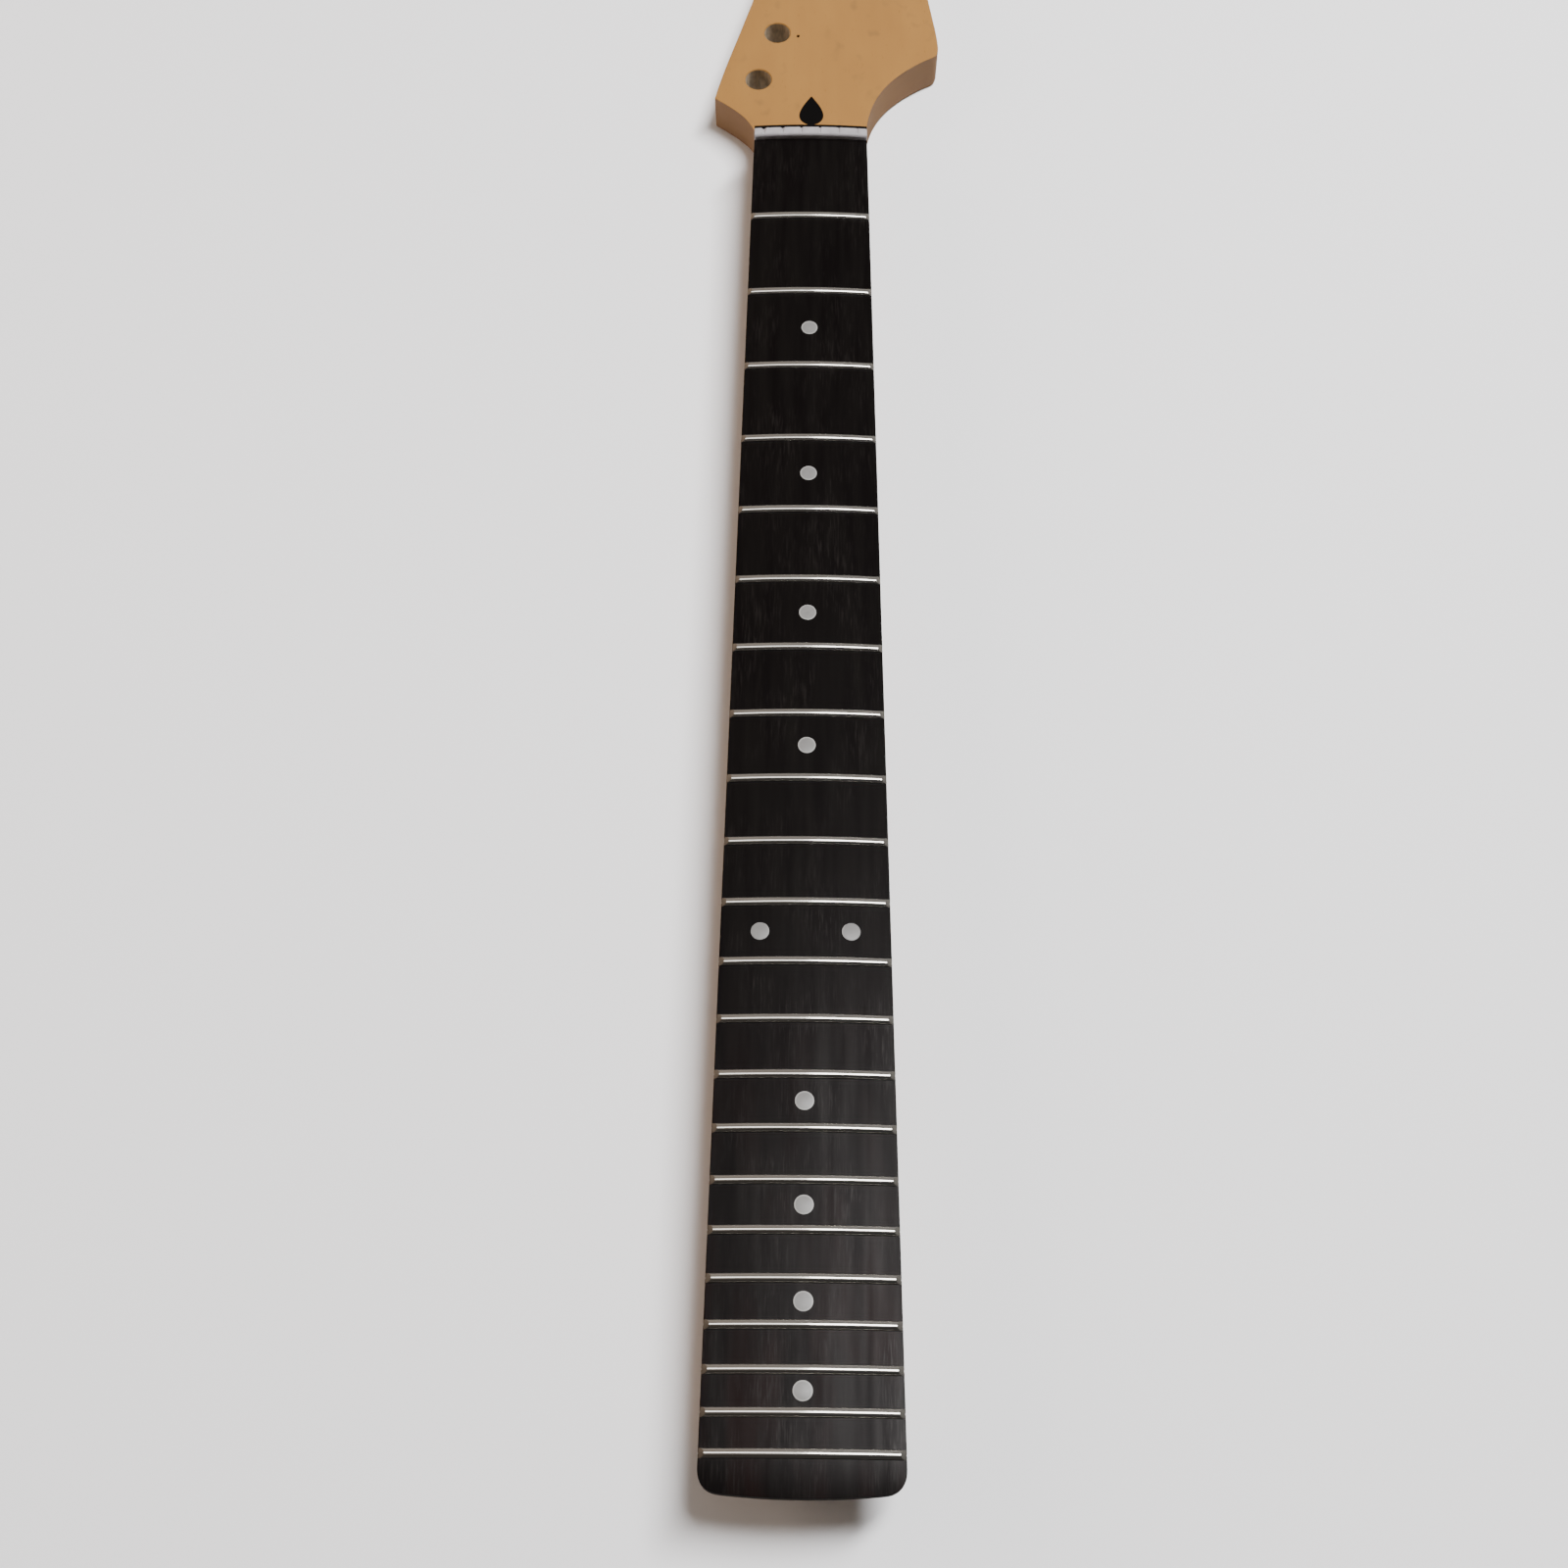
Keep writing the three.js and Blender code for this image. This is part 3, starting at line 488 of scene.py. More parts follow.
def side_points(out, middle, bottom, edge, carved):
    """One side of a section, from the glue line round to the middle of the back."""
    side, reach = [], abs(out - middle)
    deep, flat = MAPLE_TOP - bottom, reach - edge
    for share in spread(0, 1, 24):
        turn, third = share * math.pi / 2, share * 3
        corner = min(max(third - 1, 0), 1) * math.pi / 2
        block_out = (flat + edge * math.cos(corner)) * (1 - max(third - 2, 0))
        block_down = (deep - edge) * min(third, 1) + edge * math.sin(corner)
        carved_out = reach * max(math.cos(turn), 0) ** (2 / BACK_FULLNESS)
        carved_down = deep * math.sin(turn) ** (2 / BACK_FULLNESS)
        side.append((
            middle + math.copysign(block_out + (carved_out - block_out) * carved, out - middle),
            MAPLE_TOP - block_down - (carved_down - block_down) * carved))
    return side


def neck_section(y, bass, treble):
    past = y - NUT_FRONT
    carved = smoothstep(y, SEAT_END, SEAT_END + HEEL_CURVE) * (
        1 - smoothstep(past, -HEAD_CURVE, HEAD_CURVE))
    edge = HEEL_EDGE if past < -HEAD_CURVE else HEAD_BACK_EDGE
    if past > FLARE_PAST_NUT:
        outs = headstock_side(bass, past), headstock_side(treble, past)
    else:
        outs = -half_width(y), half_width(y)
    middle = sum(outs) / 2 * smoothstep(past, HEAD_CURVE, 2 * HEAD_CURVE)
    sides = [side_points(out, middle, shaft_bottom(y) * carved, edge, carved) for out in outs]
    return [Vector((x, y, z)) for x, z in sides[0] + sides[1][-2::-1]]


def neck_stations():
    """Where the neck's sections are taken; each mark has the number of steps that lead to it."""
    head = ((FLARE_PAST_NUT, 18), (BASS_CORNER.y, 16), (TREBLE_BEND.y, 14), (LOBE.y, 8),
            (FAR_SIDE_END.y, 22), (LOFT_PAST_NUT, 2))
    stations = [HEEL_END]
    for mark, steps in ((SEAT_END, 1), (SEAT_END + HEEL_CURVE, 20), (NUT_FRONT - HEAD_CURVE, 8),
                        *[(NUT_FRONT + past, steps) for past, steps in head]):
        stations += spread(stations[-1], mark, steps)[1:]
    return stations


def cove_cutter():
    """The round cove behind the nut and the open space over the headstock."""
    high, far = BOARD_TOP + 2 * OVERRUN, NUT_FRONT + COVE_LENGTH
    arc = [(COVE_Y - COVE_RADIUS * math.cos(turn), BOARD_TOP - COVE_RADIUS * math.sin(turn))
           for turn in spread(0, math.pi / 2, 24)]
    side_view = [(arc[0][0], high), *arc, (far, HEAD_THICK), (far, high)]
    return prism([Vector((-COVE_REACH, y, z)) for y, z in side_view], X_AXIS * 2 * COVE_REACH)


def heel_plan(out, end, corner, crown):
    """The heel end of the board's plan, from the bass side round to the treble side."""
    flat = out - corner

    def end_at(x):
        return end + crown * (x / out) ** 2

    rise = 2 * crown * flat / out ** 2 * corner
    side = [(out - corner * t * t, end_at(flat) + rise * (1 - t * t) + corner * (1 - t) ** 2)
            for t in spread(0, 1, 12)]
    middle = [(x, end_at(x)) for x in spread(-flat, flat, 20)[1:-1]]
    return [(-x, y) for x, y in side] + middle + side[::-1]


def box_cutter(low, high):
    bm = bmesh.new()
    bmesh.ops.create_cube(bm, size=1)
    bmesh.ops.scale(bm, vec=high - low, verts=bm.verts)
    bmesh.ops.translate(bm, vec=(low + high) / 2, verts=bm.verts)
    return bm


def bore_cutter(place, along, across, rim=0.0, through=False, steps=64):
    """A round hole from one place along a vector, with a chamfered rim at each open end."""
    radius = across / 2
    flare = rim + OVERRUN if rim else 0
    start = [(0, -OVERRUN), (radius + flare, -OVERRUN), (radius, rim)]
    end = [(radius, along.length), (0, along.length)]
    if through:
        end = [(r, along.length - d) for r, d in reversed(start)]
    return turned(start + end, place, along.normalized(), steps)


def plan_cutter(outline, low, high):
    return prism([Vector((x, y, low)) for x, y in outline], Z_AXIS * (high - low))


def corner_cutter(corner, side, end, radius):
    """What rounds off an upright corner; side and end point along its two walls, away from it."""
    pull = 1 - 4 / 3 * math.tan(math.pi / 8)
    curve = bezier(corner + side * radius, corner + side * radius * pull,
                   corner + end * radius * pull, corner + end * radius, 14)
    far = 4 * OVERRUN
    past = [curve[-1] - side * far, corner - (side + end) * far, curve[0] - end * far]
    return plan_cutter(curve + past, -OVERRUN, BOARD_TOP)


def teardrop(gap=0.0):
    """Plan of the plug: half a circle whose full sides meet in a point at the headstock."""
    radius = PLUG_ACROSS / 2 + gap
    centre = Vector((PLUG_X, NUT_FRONT + PLUG_PAST_NUT))
    scale = radius / (PLUG_ACROSS / 2)
    tip = centre + Vector((0, (PLUG_TIP_PAST_NUT - PLUG_PAST_NUT) * scale))
    round_end = [centre + Vector((math.cos(turn), -math.sin(turn))) * radius
                 for turn in spread(0, math.pi, 32)]
    left = bezier(round_end[-1], round_end[-1] + heading(0, 3.2 * MM * scale),
                  tip - heading(33, 3.6 * MM * scale), tip, 14)
    right = [Vector((2 * PLUG_X - place.x, place.y)) for place in left[::-1]]
    return round_end + left[1:] + right[1:-1]


def rod_height(y):
    """Height of the truss rod's centre line, lowest in the middle."""
    along = min(1.0, max(0.0, (y - STRIPE_START) / (STRIPE_END - STRIPE_START)))
    return ROD_HEIGHT + (ROD_LOW - ROD_HEIGHT) * (1 - math.cos(math.tau * along)) / 2


def rod_stations():
    return spread(STRIPE_START, STRIPE_END, 24)


def strip_slot(gap, above_rod):
    """The round-ended slot in the back of the neck, as deep as the rod's centre line allows."""
    radius = STRIPE_ACROSS / 2 - gap
    ends = (STRIPE_START + STRIPE_ACROSS / 2, math.pi), (STRIPE_END - STRIPE_ACROSS / 2, 0)
    outline = [(math.cos(turn) * radius, y + math.sin(turn) * radius)
               for y, start in ends for turn in spread(start, start + math.pi, 24)]
    slot = add_object("slot", plan_cutter(outline, -OVERRUN, MAPLE_TOP))
    first, last = STRIPE_START - OVERRUN, STRIPE_END + OVERRUN
    side_view = [(y, rod_height(y) + above_rod) for y in (first, *rod_stations(), last)]
    side_view += [(last, -2 * OVERRUN), (first, -2 * OVERRUN)]
    combine(slot, "INTERSECT", [prism(
        [Vector((-STRIPE_ACROSS, y, z)) for y, z in side_view], X_AXIS * 2 * STRIPE_ACROSS)])
    return slot


def board_centre(y):
    """A place on the line that the playing surface's radius is struck about."""
    return Vector((0, y, BOARD_TOP - bpy.context.scene.neck_sizes.board_radius))


def arched(profile, reach, steps=40):
    """A closed profile of places along Y and above the board, carried across its radius."""
    bm = bmesh.new()
    radius = bpy.context.scene.neck_sizes.board_radius
    turn = math.asin(reach / radius)
    first = Vector((-math.sin(turn), 0, math.cos(turn)))
    verts = [bm.verts.new(board_centre(y) + first * (radius + up)) for y, up in profile]
    edges = [bm.edges.new(pair) for pair in zip(verts, verts[1:] + verts[:1])]
    bmesh.ops.spin(bm, geom=verts + edges, cent=board_centre(0), axis=Y_AXIS, angle=2 * turn,
                   steps=steps)
    return bm


def sharp_edges(bm, chosen, degrees=35):
    """Edges whose faces meet at more than an angle and whose two ends are both chosen."""
    bm.normal_update()
    limit = math.radians(degrees)
    return [edge for edge in bm.edges if len(edge.link_faces) == 2
            and edge.calc_face_angle() > limit and all(chosen(vert.co) for vert in edge.verts)]


def reworked(piece, change):
    """Passes a piece's mesh to a function that changes it."""
    bm = bmesh.new()
    bm.from_mesh(piece.data)
    change(bm)
    bm.to_mesh(piece.data)
    bm.free()
    soften(piece.data)


# Pieces

def maple_blank():
    """The carved blank, with its heel and headstock corners rounded and nothing bored yet."""
    bass, treble = bass_curves(), treble_curves()
    bm = loft([neck_section(y, bass, treble) for y in neck_stations()])
    line = heading(TUNER_LINE)
    tip = on_head(along_tuners(TUNER_STEP * (TUNERS - 1) + TIP_PAST_LAST_HOLE))
    slice_off(bm, tip, line.to_3d())
    ease_end(bm, tip, line.to_3d())
    ease_end(bm, Vector((0, HEEL_END, 0)), -Y_AXIS)
    blank = add_object("maple_neck", bm)
    at_tip = sorted((vert.co.xy for vert in blank.data.vertices
                     if abs((vert.co - tip).xy.dot(line)) < 0.01 * MM), key=lambda place: place.x)
    across = Vector((line.y, -line.x))
    out, up = half_width(HEEL_END), Vector((wall_slope(), 1)).normalized()
    combine(blank, "DIFFERENCE", [
        corner_cutter(at_tip[0], -line, across, TIP_CORNER),
        corner_cutter(at_tip[-1], heading(FAR_SIDE_WAY), -across, TIP_CORNER),
        corner_cutter(Vector((out, HEEL_END)), Vector((-up.x, up.y)), -X_AXIS.xy, HEEL_CORNER),
        corner_cutter(Vector((-out, HEEL_END)), up, X_AXIS.xy, HEEL_CORNER),
    ])
    return blank


def rod_cutters():
    """What the pocket, rod, anchor and heel screws take out of the blank."""
    floor = HEEL_END + POCKET_DEPTH
    low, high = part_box("rod_anchor")
    plug_edge = NUT_FRONT + PLUG_PAST_NUT - PLUG_ACROSS / 2
    bores = (
        (HEEL_END, floor, POCKET_ACROSS, POCKET_RIM),
        (floor, STRIPE_START + STRIPE_ACROSS, ROD_BORE, 0),
        (STRIPE_END - STRIPE_ACROSS, low.y, ROD_BORE, 0),
        (low.y + OVERRUN, plug_edge + OVERRUN, high.x - low.x + 2 * GAP, 0))
    return [
        *[bore_cutter(Vector((0, start, ROD_HEIGHT)), Y_AXIS * (end - start), across, rim)
          for start, end, across, rim in bores],
        *[bore_cutter(Vector((side * SCREW_ACROSS / 2, end * SCREW_ALONG / 2, 0)),
                      Z_AXIS * PILOT_DEPTH, PILOT_ACROSS, PILOT_RIM)
          for side in (-1, 1) for end in (-1, 1)],
    ]


def headstock_cutters():
    """What the plug, the small hole and the tuners take out of the blank."""
    return [
        plan_cutter(teardrop(GAP), HEAD_THICK - PLUG_DEPTH, BOARD_TOP),
        bore_cutter(on_head(LINE_HOLE, HEAD_THICK), -Z_AXIS * LINE_HOLE_DEPTH, LINE_HOLE_ACROSS,
                    LINE_HOLE_RIM, steps=24),
        *[bore_cutter(on_head(place), Z_AXIS * HEAD_THICK, TUNER_ACROSS, TUNER_RIM,
                      through=True, steps=96) for place in tuner_holes()],
    ]


def ease_rims(bm):
    """Breaks the edge of the headstock's face."""
    face = sharp_edges(bm, lambda place: (
        place.z > HEAD_THICK - WELD and place.y > NUT_FRONT + TAIL_PAST_NUT))
    face = [edge for edge in face if min(vert.co.z for vert in edge.verts) < MAPLE_TOP - WELD]
    round_edges(bm, face, HEAD_FACE_EDGE, 4)


def make_neck():
    blank = maple_blank()
    strip = strip_slot(GAP, -ROD_RADIUS - GAP)
    strip.name = strip.data.name = "back_strip"
    combine(strip, "INTERSECT", [put("whole_blank", blank.data.copy())])
    combine(blank, "DIFFERENCE", [cove_cutter()])
    reworked(blank, ease_rims)
    combine(blank, "DIFFERENCE", [strip_slot(0, ROD_RADIUS + GAP), *rod_cutters(), *headstock_cutters()])
    dress(blank, "neck", "maple", "neck")
    dress(strip, "neck", "walnut", "skunk_stripe")


def make_plug():
    plug = add_object("black_plug", plan_cutter(
        teardrop(), HEAD_THICK - PLUG_DEPTH + SEAT_GAP, BOARD_TOP))
    combine(plug, "DIFFERENCE", [cove_cutter()])
    dress(plug, "neck", "black_wood", "teardrop_plug")


def make_board():
    sizes = bpy.context.scene.neck_sizes
    out, front, tail = half_width(BOARD_END), half_width(NUT_FRONT), COVE_Y + OVERRUN
    outline = [*heel_plan(out, BOARD_END, sizes.end_corner, sizes.end_crown),
               (front, NUT_FRONT), (front, tail), (-front, tail), (-front, NUT_FRONT)]
    board = add_object("rosewood_board", plan_cutter(outline, BOARD_BOTTOM, BOARD_TOP + 2 * OVERRUN))
    reach, end = out + OVERRUN, 4 * OVERRUN
    section = board_arc(0, reach) + [Vector((x, 0, -OVERRUN)) for x in (reach, -reach)]
    combine(board, "INTERSECT", [prism(
        [place + Y_AXIS * (BOARD_END - end) for place in section],
        Y_AXIS * (tail - BOARD_END + 2 * end))])
    reworked(board, ease_board)
    combine(board, "DIFFERENCE", [cove_cutter(), *board_slots(), *dot_pockets()])
    dress(board, "neck", "rosewood", "fretboard")


def board_arc(up, reach, steps=72):
    """Places across the playing surface, or at a height above it, from bass to treble."""
    radius = bpy.context.scene.neck_sizes.board_radius + up
    turn = math.asin(reach / radius)
    return [board_centre(0) + Vector((math.sin(t), 0, math.cos(t))) * radius
            for t in spread(-turn, turn, steps)]


def ease_board(bm):
    width = bpy.context.scene.neck_sizes.board_edge
    round_edges(bm, sharp_edges(bm, lambda place: (
        place.z > BOARD_TOP - 3 * MM and place.y < COVE_Y)), width, 3)


def board_slots():
    """What the nut and the tangs of the frets take out of the board."""
    out = half_width(BOARD_END) + OVERRUN
    low = board_arc(-bpy.context.scene.fret_sizes.tang_depth - SLOT_SPARE, out, 24)
    section = low + board_arc(OVERRUN, out, 24)[::-1]
    return [
        box_cutter(Vector((-out, NUT_FRONT - SEAT_GAP, NUT_BOTTOM - SEAT_GAP)),
                   Vector((out, NUT_BACK + SEAT_GAP, BOARD_TOP + OVERRUN))),
        *[prism([place + Y_AXIS * (middle_of(name).y - SLOT_ACROSS / 2) for place in section],
                Y_AXIS * SLOT_ACROSS) for name in FRETS]]


def dot_place(name):
    """Centre of a dot's outer face, the direction it faces and its radius."""
    low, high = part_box(name)
    middle, radius = (low + high) / 2, (high.y - low.y) / 2
    if name in SIDE_DOTS:
        wall = Vector((-half_width(middle.y), middle.y, middle.z))
        return wall, Vector((-1, -wall_slope(), 0)).normalized(), radius
    top = Vector((middle.x, middle.y, board_height(middle.x)))
    return top, (top - board_centre(middle.y)).normalized(), radius - DOT_EASE


def all_dots():
    """Node, piece name, place, direction, radius, depth and steps of every dot."""
    return [
        *[(name, name.replace("inlay", "face"), *dot_place(name), DOT_DEPTH, 72) for name in DOTS],
        *[(name, name.replace("side", "edge"), *dot_place(name), SIDE_DOT_DEPTH, 32)
          for name in SIDE_DOTS]]


def dot_pockets():
    return [bore_cutter(place, -out * depth, 2 * (radius + DOT_GAP), steps=steps)
            for _, _, place, out, radius, depth, steps in all_dots()]


def disc(name, place, facing, radius, depth, steps):
    """A round inlay whose face stands a hair above the wood, with a tiny rounded rim."""
    inner, low = radius - DOT_RIM, DOT_PROUD - DOT_RIM
    corner = [(inner + DOT_RIM * math.sin(turn), low + DOT_RIM * math.cos(turn))
              for turn in spread(0, math.pi / 2, 3)]
    shape = [(0, DOT_PROUD), *corner, (radius, SEAT_GAP - depth), (0, SEAT_GAP - depth)]
    return add_object(name, turned(shape, place, facing, steps))


def make_dots():
    for node, name, *shape in all_dots():
        dress(disc(name, *shape), "neck", "dot_plastic", node)


def make_fret(name):
    sizes = bpy.context.scene.fret_sizes
    middle, half = middle_of(name).y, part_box(name)[1].x
    side, tang = sizes.crown_width / 2, sizes.tang_thickness / 2
    crown = [(math.cos(turn) * side, CROWN_FOOT + (sizes.crown_height - CROWN_FOOT)
              * math.sin(turn)) for turn in spread(0, math.pi, 28)]
    shape = [(side, 0), *crown, (-side, 0), (-tang, 0), (-tang, -sizes.tang_depth),
             (tang, -sizes.tang_depth), (tang, 0)]
    bm = arched([(middle + y, up) for y, up in shape], half + OVERRUN)
    for way in (-1, 1):
        slice_off(bm, Vector((way * half, middle, 0)), X_AXIS * way)
        filed = Vector((way * sizes.crown_height, 0, sizes.end_bevel)).normalized()
        slice_off(bm, Vector((way * half, middle, board_height(half))), filed)
    bmesh.ops.recalc_face_normals(bm, faces=bm.faces)
    start, low = half - sizes.end_bevel - 0.1 * MM, board_height(half) + 0.05 * MM
    ends = sharp_edges(bm, lambda place: abs(place.x) > start and place.z > low, 25)
    round_edges(bm, ends, FRET_END_ROUND, 2)
    dress(add_object(name.replace("fret", "wire"), bm), "neck", "fret_wire", name)


def notch_section(x, y, width, depth, floor):
    """A vee with a round bottom, seen from the heel."""
    lean, radius = math.atan2(width / 2, depth), width * NOTCH_ROUND
    arc = [(math.sin(turn) * radius, floor + radius - math.cos(turn) * radius)
           for turn in spread(lean - math.pi / 2, math.pi / 2 - lean, 8)]
    out, high = arc[-1][0] + OVERRUN * math.tan(lean), arc[-1][1] + OVERRUN
    return [Vector((x + dx, y, z)) for dx, z in [*arc, (out, high), (-out, high)]]


def notch_cutter(x, share):
    """One string notch, which falls away from the board and widens towards the headstock."""
    sizes = bpy.context.scene.nut_sizes
    width = sizes.bass_notch + (sizes.treble_notch - sizes.bass_notch) * share
    depth = sizes.notch_depth * (1 - NOTCH_FALL_OFF * share)
    front = board_height(x) + sizes.proud - sizes.front_notch
    back = board_height(x) + sizes.proud - sizes.back_drop - depth
    fall = (back - front) / (NUT_BACK - NUT_FRONT)
    return loft([notch_section(x, y, width, depth, front + fall * (y - NUT_FRONT))
                 for y in (NUT_FRONT - OVERRUN / 3, NUT_BACK + OVERRUN)])


def make_nut():
    sizes = bpy.context.scene.nut_sizes
    bm = arched([(NUT_FRONT, sizes.proud), (NUT_BACK, sizes.proud - sizes.back_drop),
                 (NUT_BACK, -2 * OVERRUN), (NUT_FRONT, -2 * OVERRUN)], NUT_OUT + OVERRUN)
    for way in (-1, 1):
        slice_off(bm, Vector((way * NUT_OUT, 0, 0)), X_AXIS * way)
    slice_off(bm, Vector((0, 0, NUT_BOTTOM)), -Z_AXIS)
    bmesh.ops.recalc_face_normals(bm, faces=bm.faces)
    low, front = BOARD_TOP - 2 * MM, NUT_FRONT + 0.01 * MM
    round_edges(bm, sharp_edges(bm, lambda place: place.z > low and place.y < front),
                sizes.front_edge, 7)
    round_edges(bm, sharp_edges(bm, lambda place: place.z > low), sizes.edge, 4)
    nut = add_object("string_nut", bm)
    combine(nut, "DIFFERENCE", [
        notch_cutter((share - 0.5) * sizes.spread, share) for share in spread(0, 1, 5)])
    dress(nut, "neck", "nut_plastic", "nut")


def rod_ring(name, shape, body, node):
    """A steel ring turned about the rod's end; each place is a radius and a place along Y."""
    ring = add_object(name, turned(shape, Vector((0, 0, ROD_HEIGHT)), Y_AXIS, 96, ring=True))
    dress(ring, body, "steel", node)
    return ring


def plain_ring(node, edge):
    """The shape of a ring on the rod, as large as its CAD node, with its outer edges broken."""
    low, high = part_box(node)
    bore, out = ROD_RADIUS + RUNNING_GAP, high.x
    return [(bore, low.y), (out - edge, low.y), (out, low.y + edge), (out, high.y - edge),
            (out - edge, high.y), (bore, high.y)]


def make_rod_hardware():
    rod_ring("turned_washer", plain_ring("thrust_washer", WASHER_EDGE), "thrust_washer", "thrust_washer")
    rod_ring("turned_ferrule", plain_ring("rod_ferrule", STEEL_EDGE), "neck", "rod_ferrule")
    low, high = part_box("adjusting_nut")
    bore, out, nose, edge = ROD_RADIUS + RUNNING_GAP, high.x, ADJUSTER_NOSE, STEEL_EDGE
    adjuster = rod_ring("turned_adjuster", [
        (bore + ADJUSTER_LEAD_IN, low.y), (out - nose, low.y),
        (out - 0.25 * nose, low.y + 0.4 * nose), (out, low.y + nose), (out, high.y - edge),
        (out - edge, high.y), (bore + edge, high.y), (bore, high.y - edge),
        (bore, low.y + ADJUSTER_LEAD_IN)], "adjusting_nut", "adjusting_nut")
    reach, wide = out + OVERRUN, DRIVER_ACROSS / 2
    combine(adjuster, "DIFFERENCE", [
        box_cutter(Vector((-x, low.y - OVERRUN, ROD_HEIGHT - z)),
                   Vector((x, low.y + DRIVER_DEPTH, ROD_HEIGHT + z)))
        for x, z in ((reach, wide), (wide, reach))])
    low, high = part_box("truss_rod")
    rod = loft([[Vector((math.cos(turn), 0, math.sin(turn))) * ROD_RADIUS
                 + Vector((0, y, rod_height(y))) for turn in spread(0, math.tau, 48)[:-1]]
                for y in (low.y, *rod_stations(), high.y)])
    dress(add_object("bowed_rod", rod), "neck", "steel", "truss_rod")


# Materials

def add(tree, kind, inputs=(), **settings):
    """Adds a shader node with its settings and feeds it."""
    node = tree.nodes.new("ShaderNode" + kind)
    for name, value in settings.items():
        setattr(node, name, value)
    feed(tree, node, inputs)
    return node


def feed(tree, node, inputs):
    """Sets or links a node's inputs, by name or those in use in order.

    A node among them is linked by its first output in use.
    """
    if not isinstance(inputs, dict):
        used = (index for index, socket in enumerate(node.inputs) if socket.enabled)
        inputs = dict(zip(used, inputs))
    for socket, value in inputs.items():
        if isinstance(value, bpy.types.Node):
            value = next(output for output in value.outputs if output.enabled)
        if isinstance(value, bpy.types.NodeSocket):
            tree.links.new(value, node.inputs[socket])
        else:
            node.inputs[socket].default_value = value


def new_finish(name):
    finish = bpy.data.materials.new(name)
    finish.use_nodes = True
    return finish, finish.node_tree


def finished(finish, inputs):
    """Feeds a material's own shader and gives the material back."""
    feed(finish.node_tree, finish.node_tree.nodes["Principled BSDF"], inputs)
    return finish


def pattern(tree, size, detail=2.0, distortion=0.0):
    """Noise on the piece, whose patches have a real size in millimetres along X, Y and Z."""
    stretched = add(tree, "Mapping", {
        "Vector": add(tree, "TexCoord").outputs["Object"], "Scale": [1 / (side * MM) for side in size]})
    return add(tree, "TexNoise", {
        "Vector": stretched, "Scale": 1.0, "Detail": detail, "Distortion": distortion})


def stained(tree, body, value, low, high, most, tone):
    """A colour under another one, whose share grows to its most as a value goes to its high."""
    share = add(tree, "MapRange", (value, low, high, 0, most))
    return add(tree, "Mix", (share, body, tone), data_type="RGBA")


def up_share(tree):
    """How flat a face lies: 1 where it faces up or down, 0 on an upright wall."""
    facing = add(tree, "SeparateXYZ", [add(tree, "TexCoord").outputs["Normal"]])
    return add(tree, "Math", [facing.outputs["Z"]], operation="ABSOLUTE")


def sanded_maple():
    """Flat-sawn maple, sanded and sprayed with an amber-tinted satin lacquer.

    A soft warm face with faint lengthwise rings, blotches and short flecks under a thin,
    slightly glossy skin; upright sides are darker, partly from deeper tint and partly from painted
    shade.
    """
    colours = bpy.context.scene.neck_colours
    finish, tree = new_finish("sanded_maple_under_satin_lacquer")
    blotch = pattern(tree, (15, 34, 15))
    rings = pattern(tree, (3.4, 140, 9), distortion=0.3)
    fibre = pattern(tree, (0.5, 9, 0.5), 1)
    fleck = pattern(tree, (0.6, 2.6, 0.6), 1)
    smudge = pattern(tree, (6, 7, 6), 1)
    body = stained(tree, colours.maple, blotch, 0.35, 0.7, 0.8, colours.maple_grain)
    body = stained(tree, body, rings, 0.5, 0.7, 0.2, colours.maple_grain)
    body = stained(tree, body, fibre, 0.6, 0.8, 0.1, colours.maple_grain)
    body = stained(tree, body, fleck, 0.7, 0.8, 0.35, colour("#6e4a24"))
    body = stained(tree, body, smudge, 0.62, 0.8, 0.5, colour("#6d5133"))
    return finished(finish, {
        # Upright faces blend to the side colour: deeper tint plus painted shade.
        "Base Color": stained(tree, body, up_share(tree), 0.5, 0.05, 0.85, colours.maple_side_and_shade),
        "Roughness": add(tree, "MapRange", (blotch, 0.3, 0.7, 0.4, 0.48)),
        "Normal": add(tree, "Bump", {"Height": fibre, "Distance": 0.01 * MM, "Strength": 0.2}),
        "IOR": 1.5, "Specular IOR Level": 0.2, "Coat Weight": 0.05, "Coat Roughness": 0.3})


def drilled_maple():
    """Bare maple in a drilled hole: paler and greyer than the lacquered face, and fuzzy."""
    finish, tree = new_finish("bare_drilled_maple")
    fuzz = pattern(tree, (1.2, 1.2, 3), 3)
    return finished(finish, {
        "Base Color": stained(tree, colour("#b2a088"), fuzz, 0.35, 0.65, 1, colour("#908370")),
        "Normal": add(tree, "Bump", {"Height": fuzz, "Distance": 0.05 * MM, "Strength": 0.3}),
        "Roughness": 0.7})


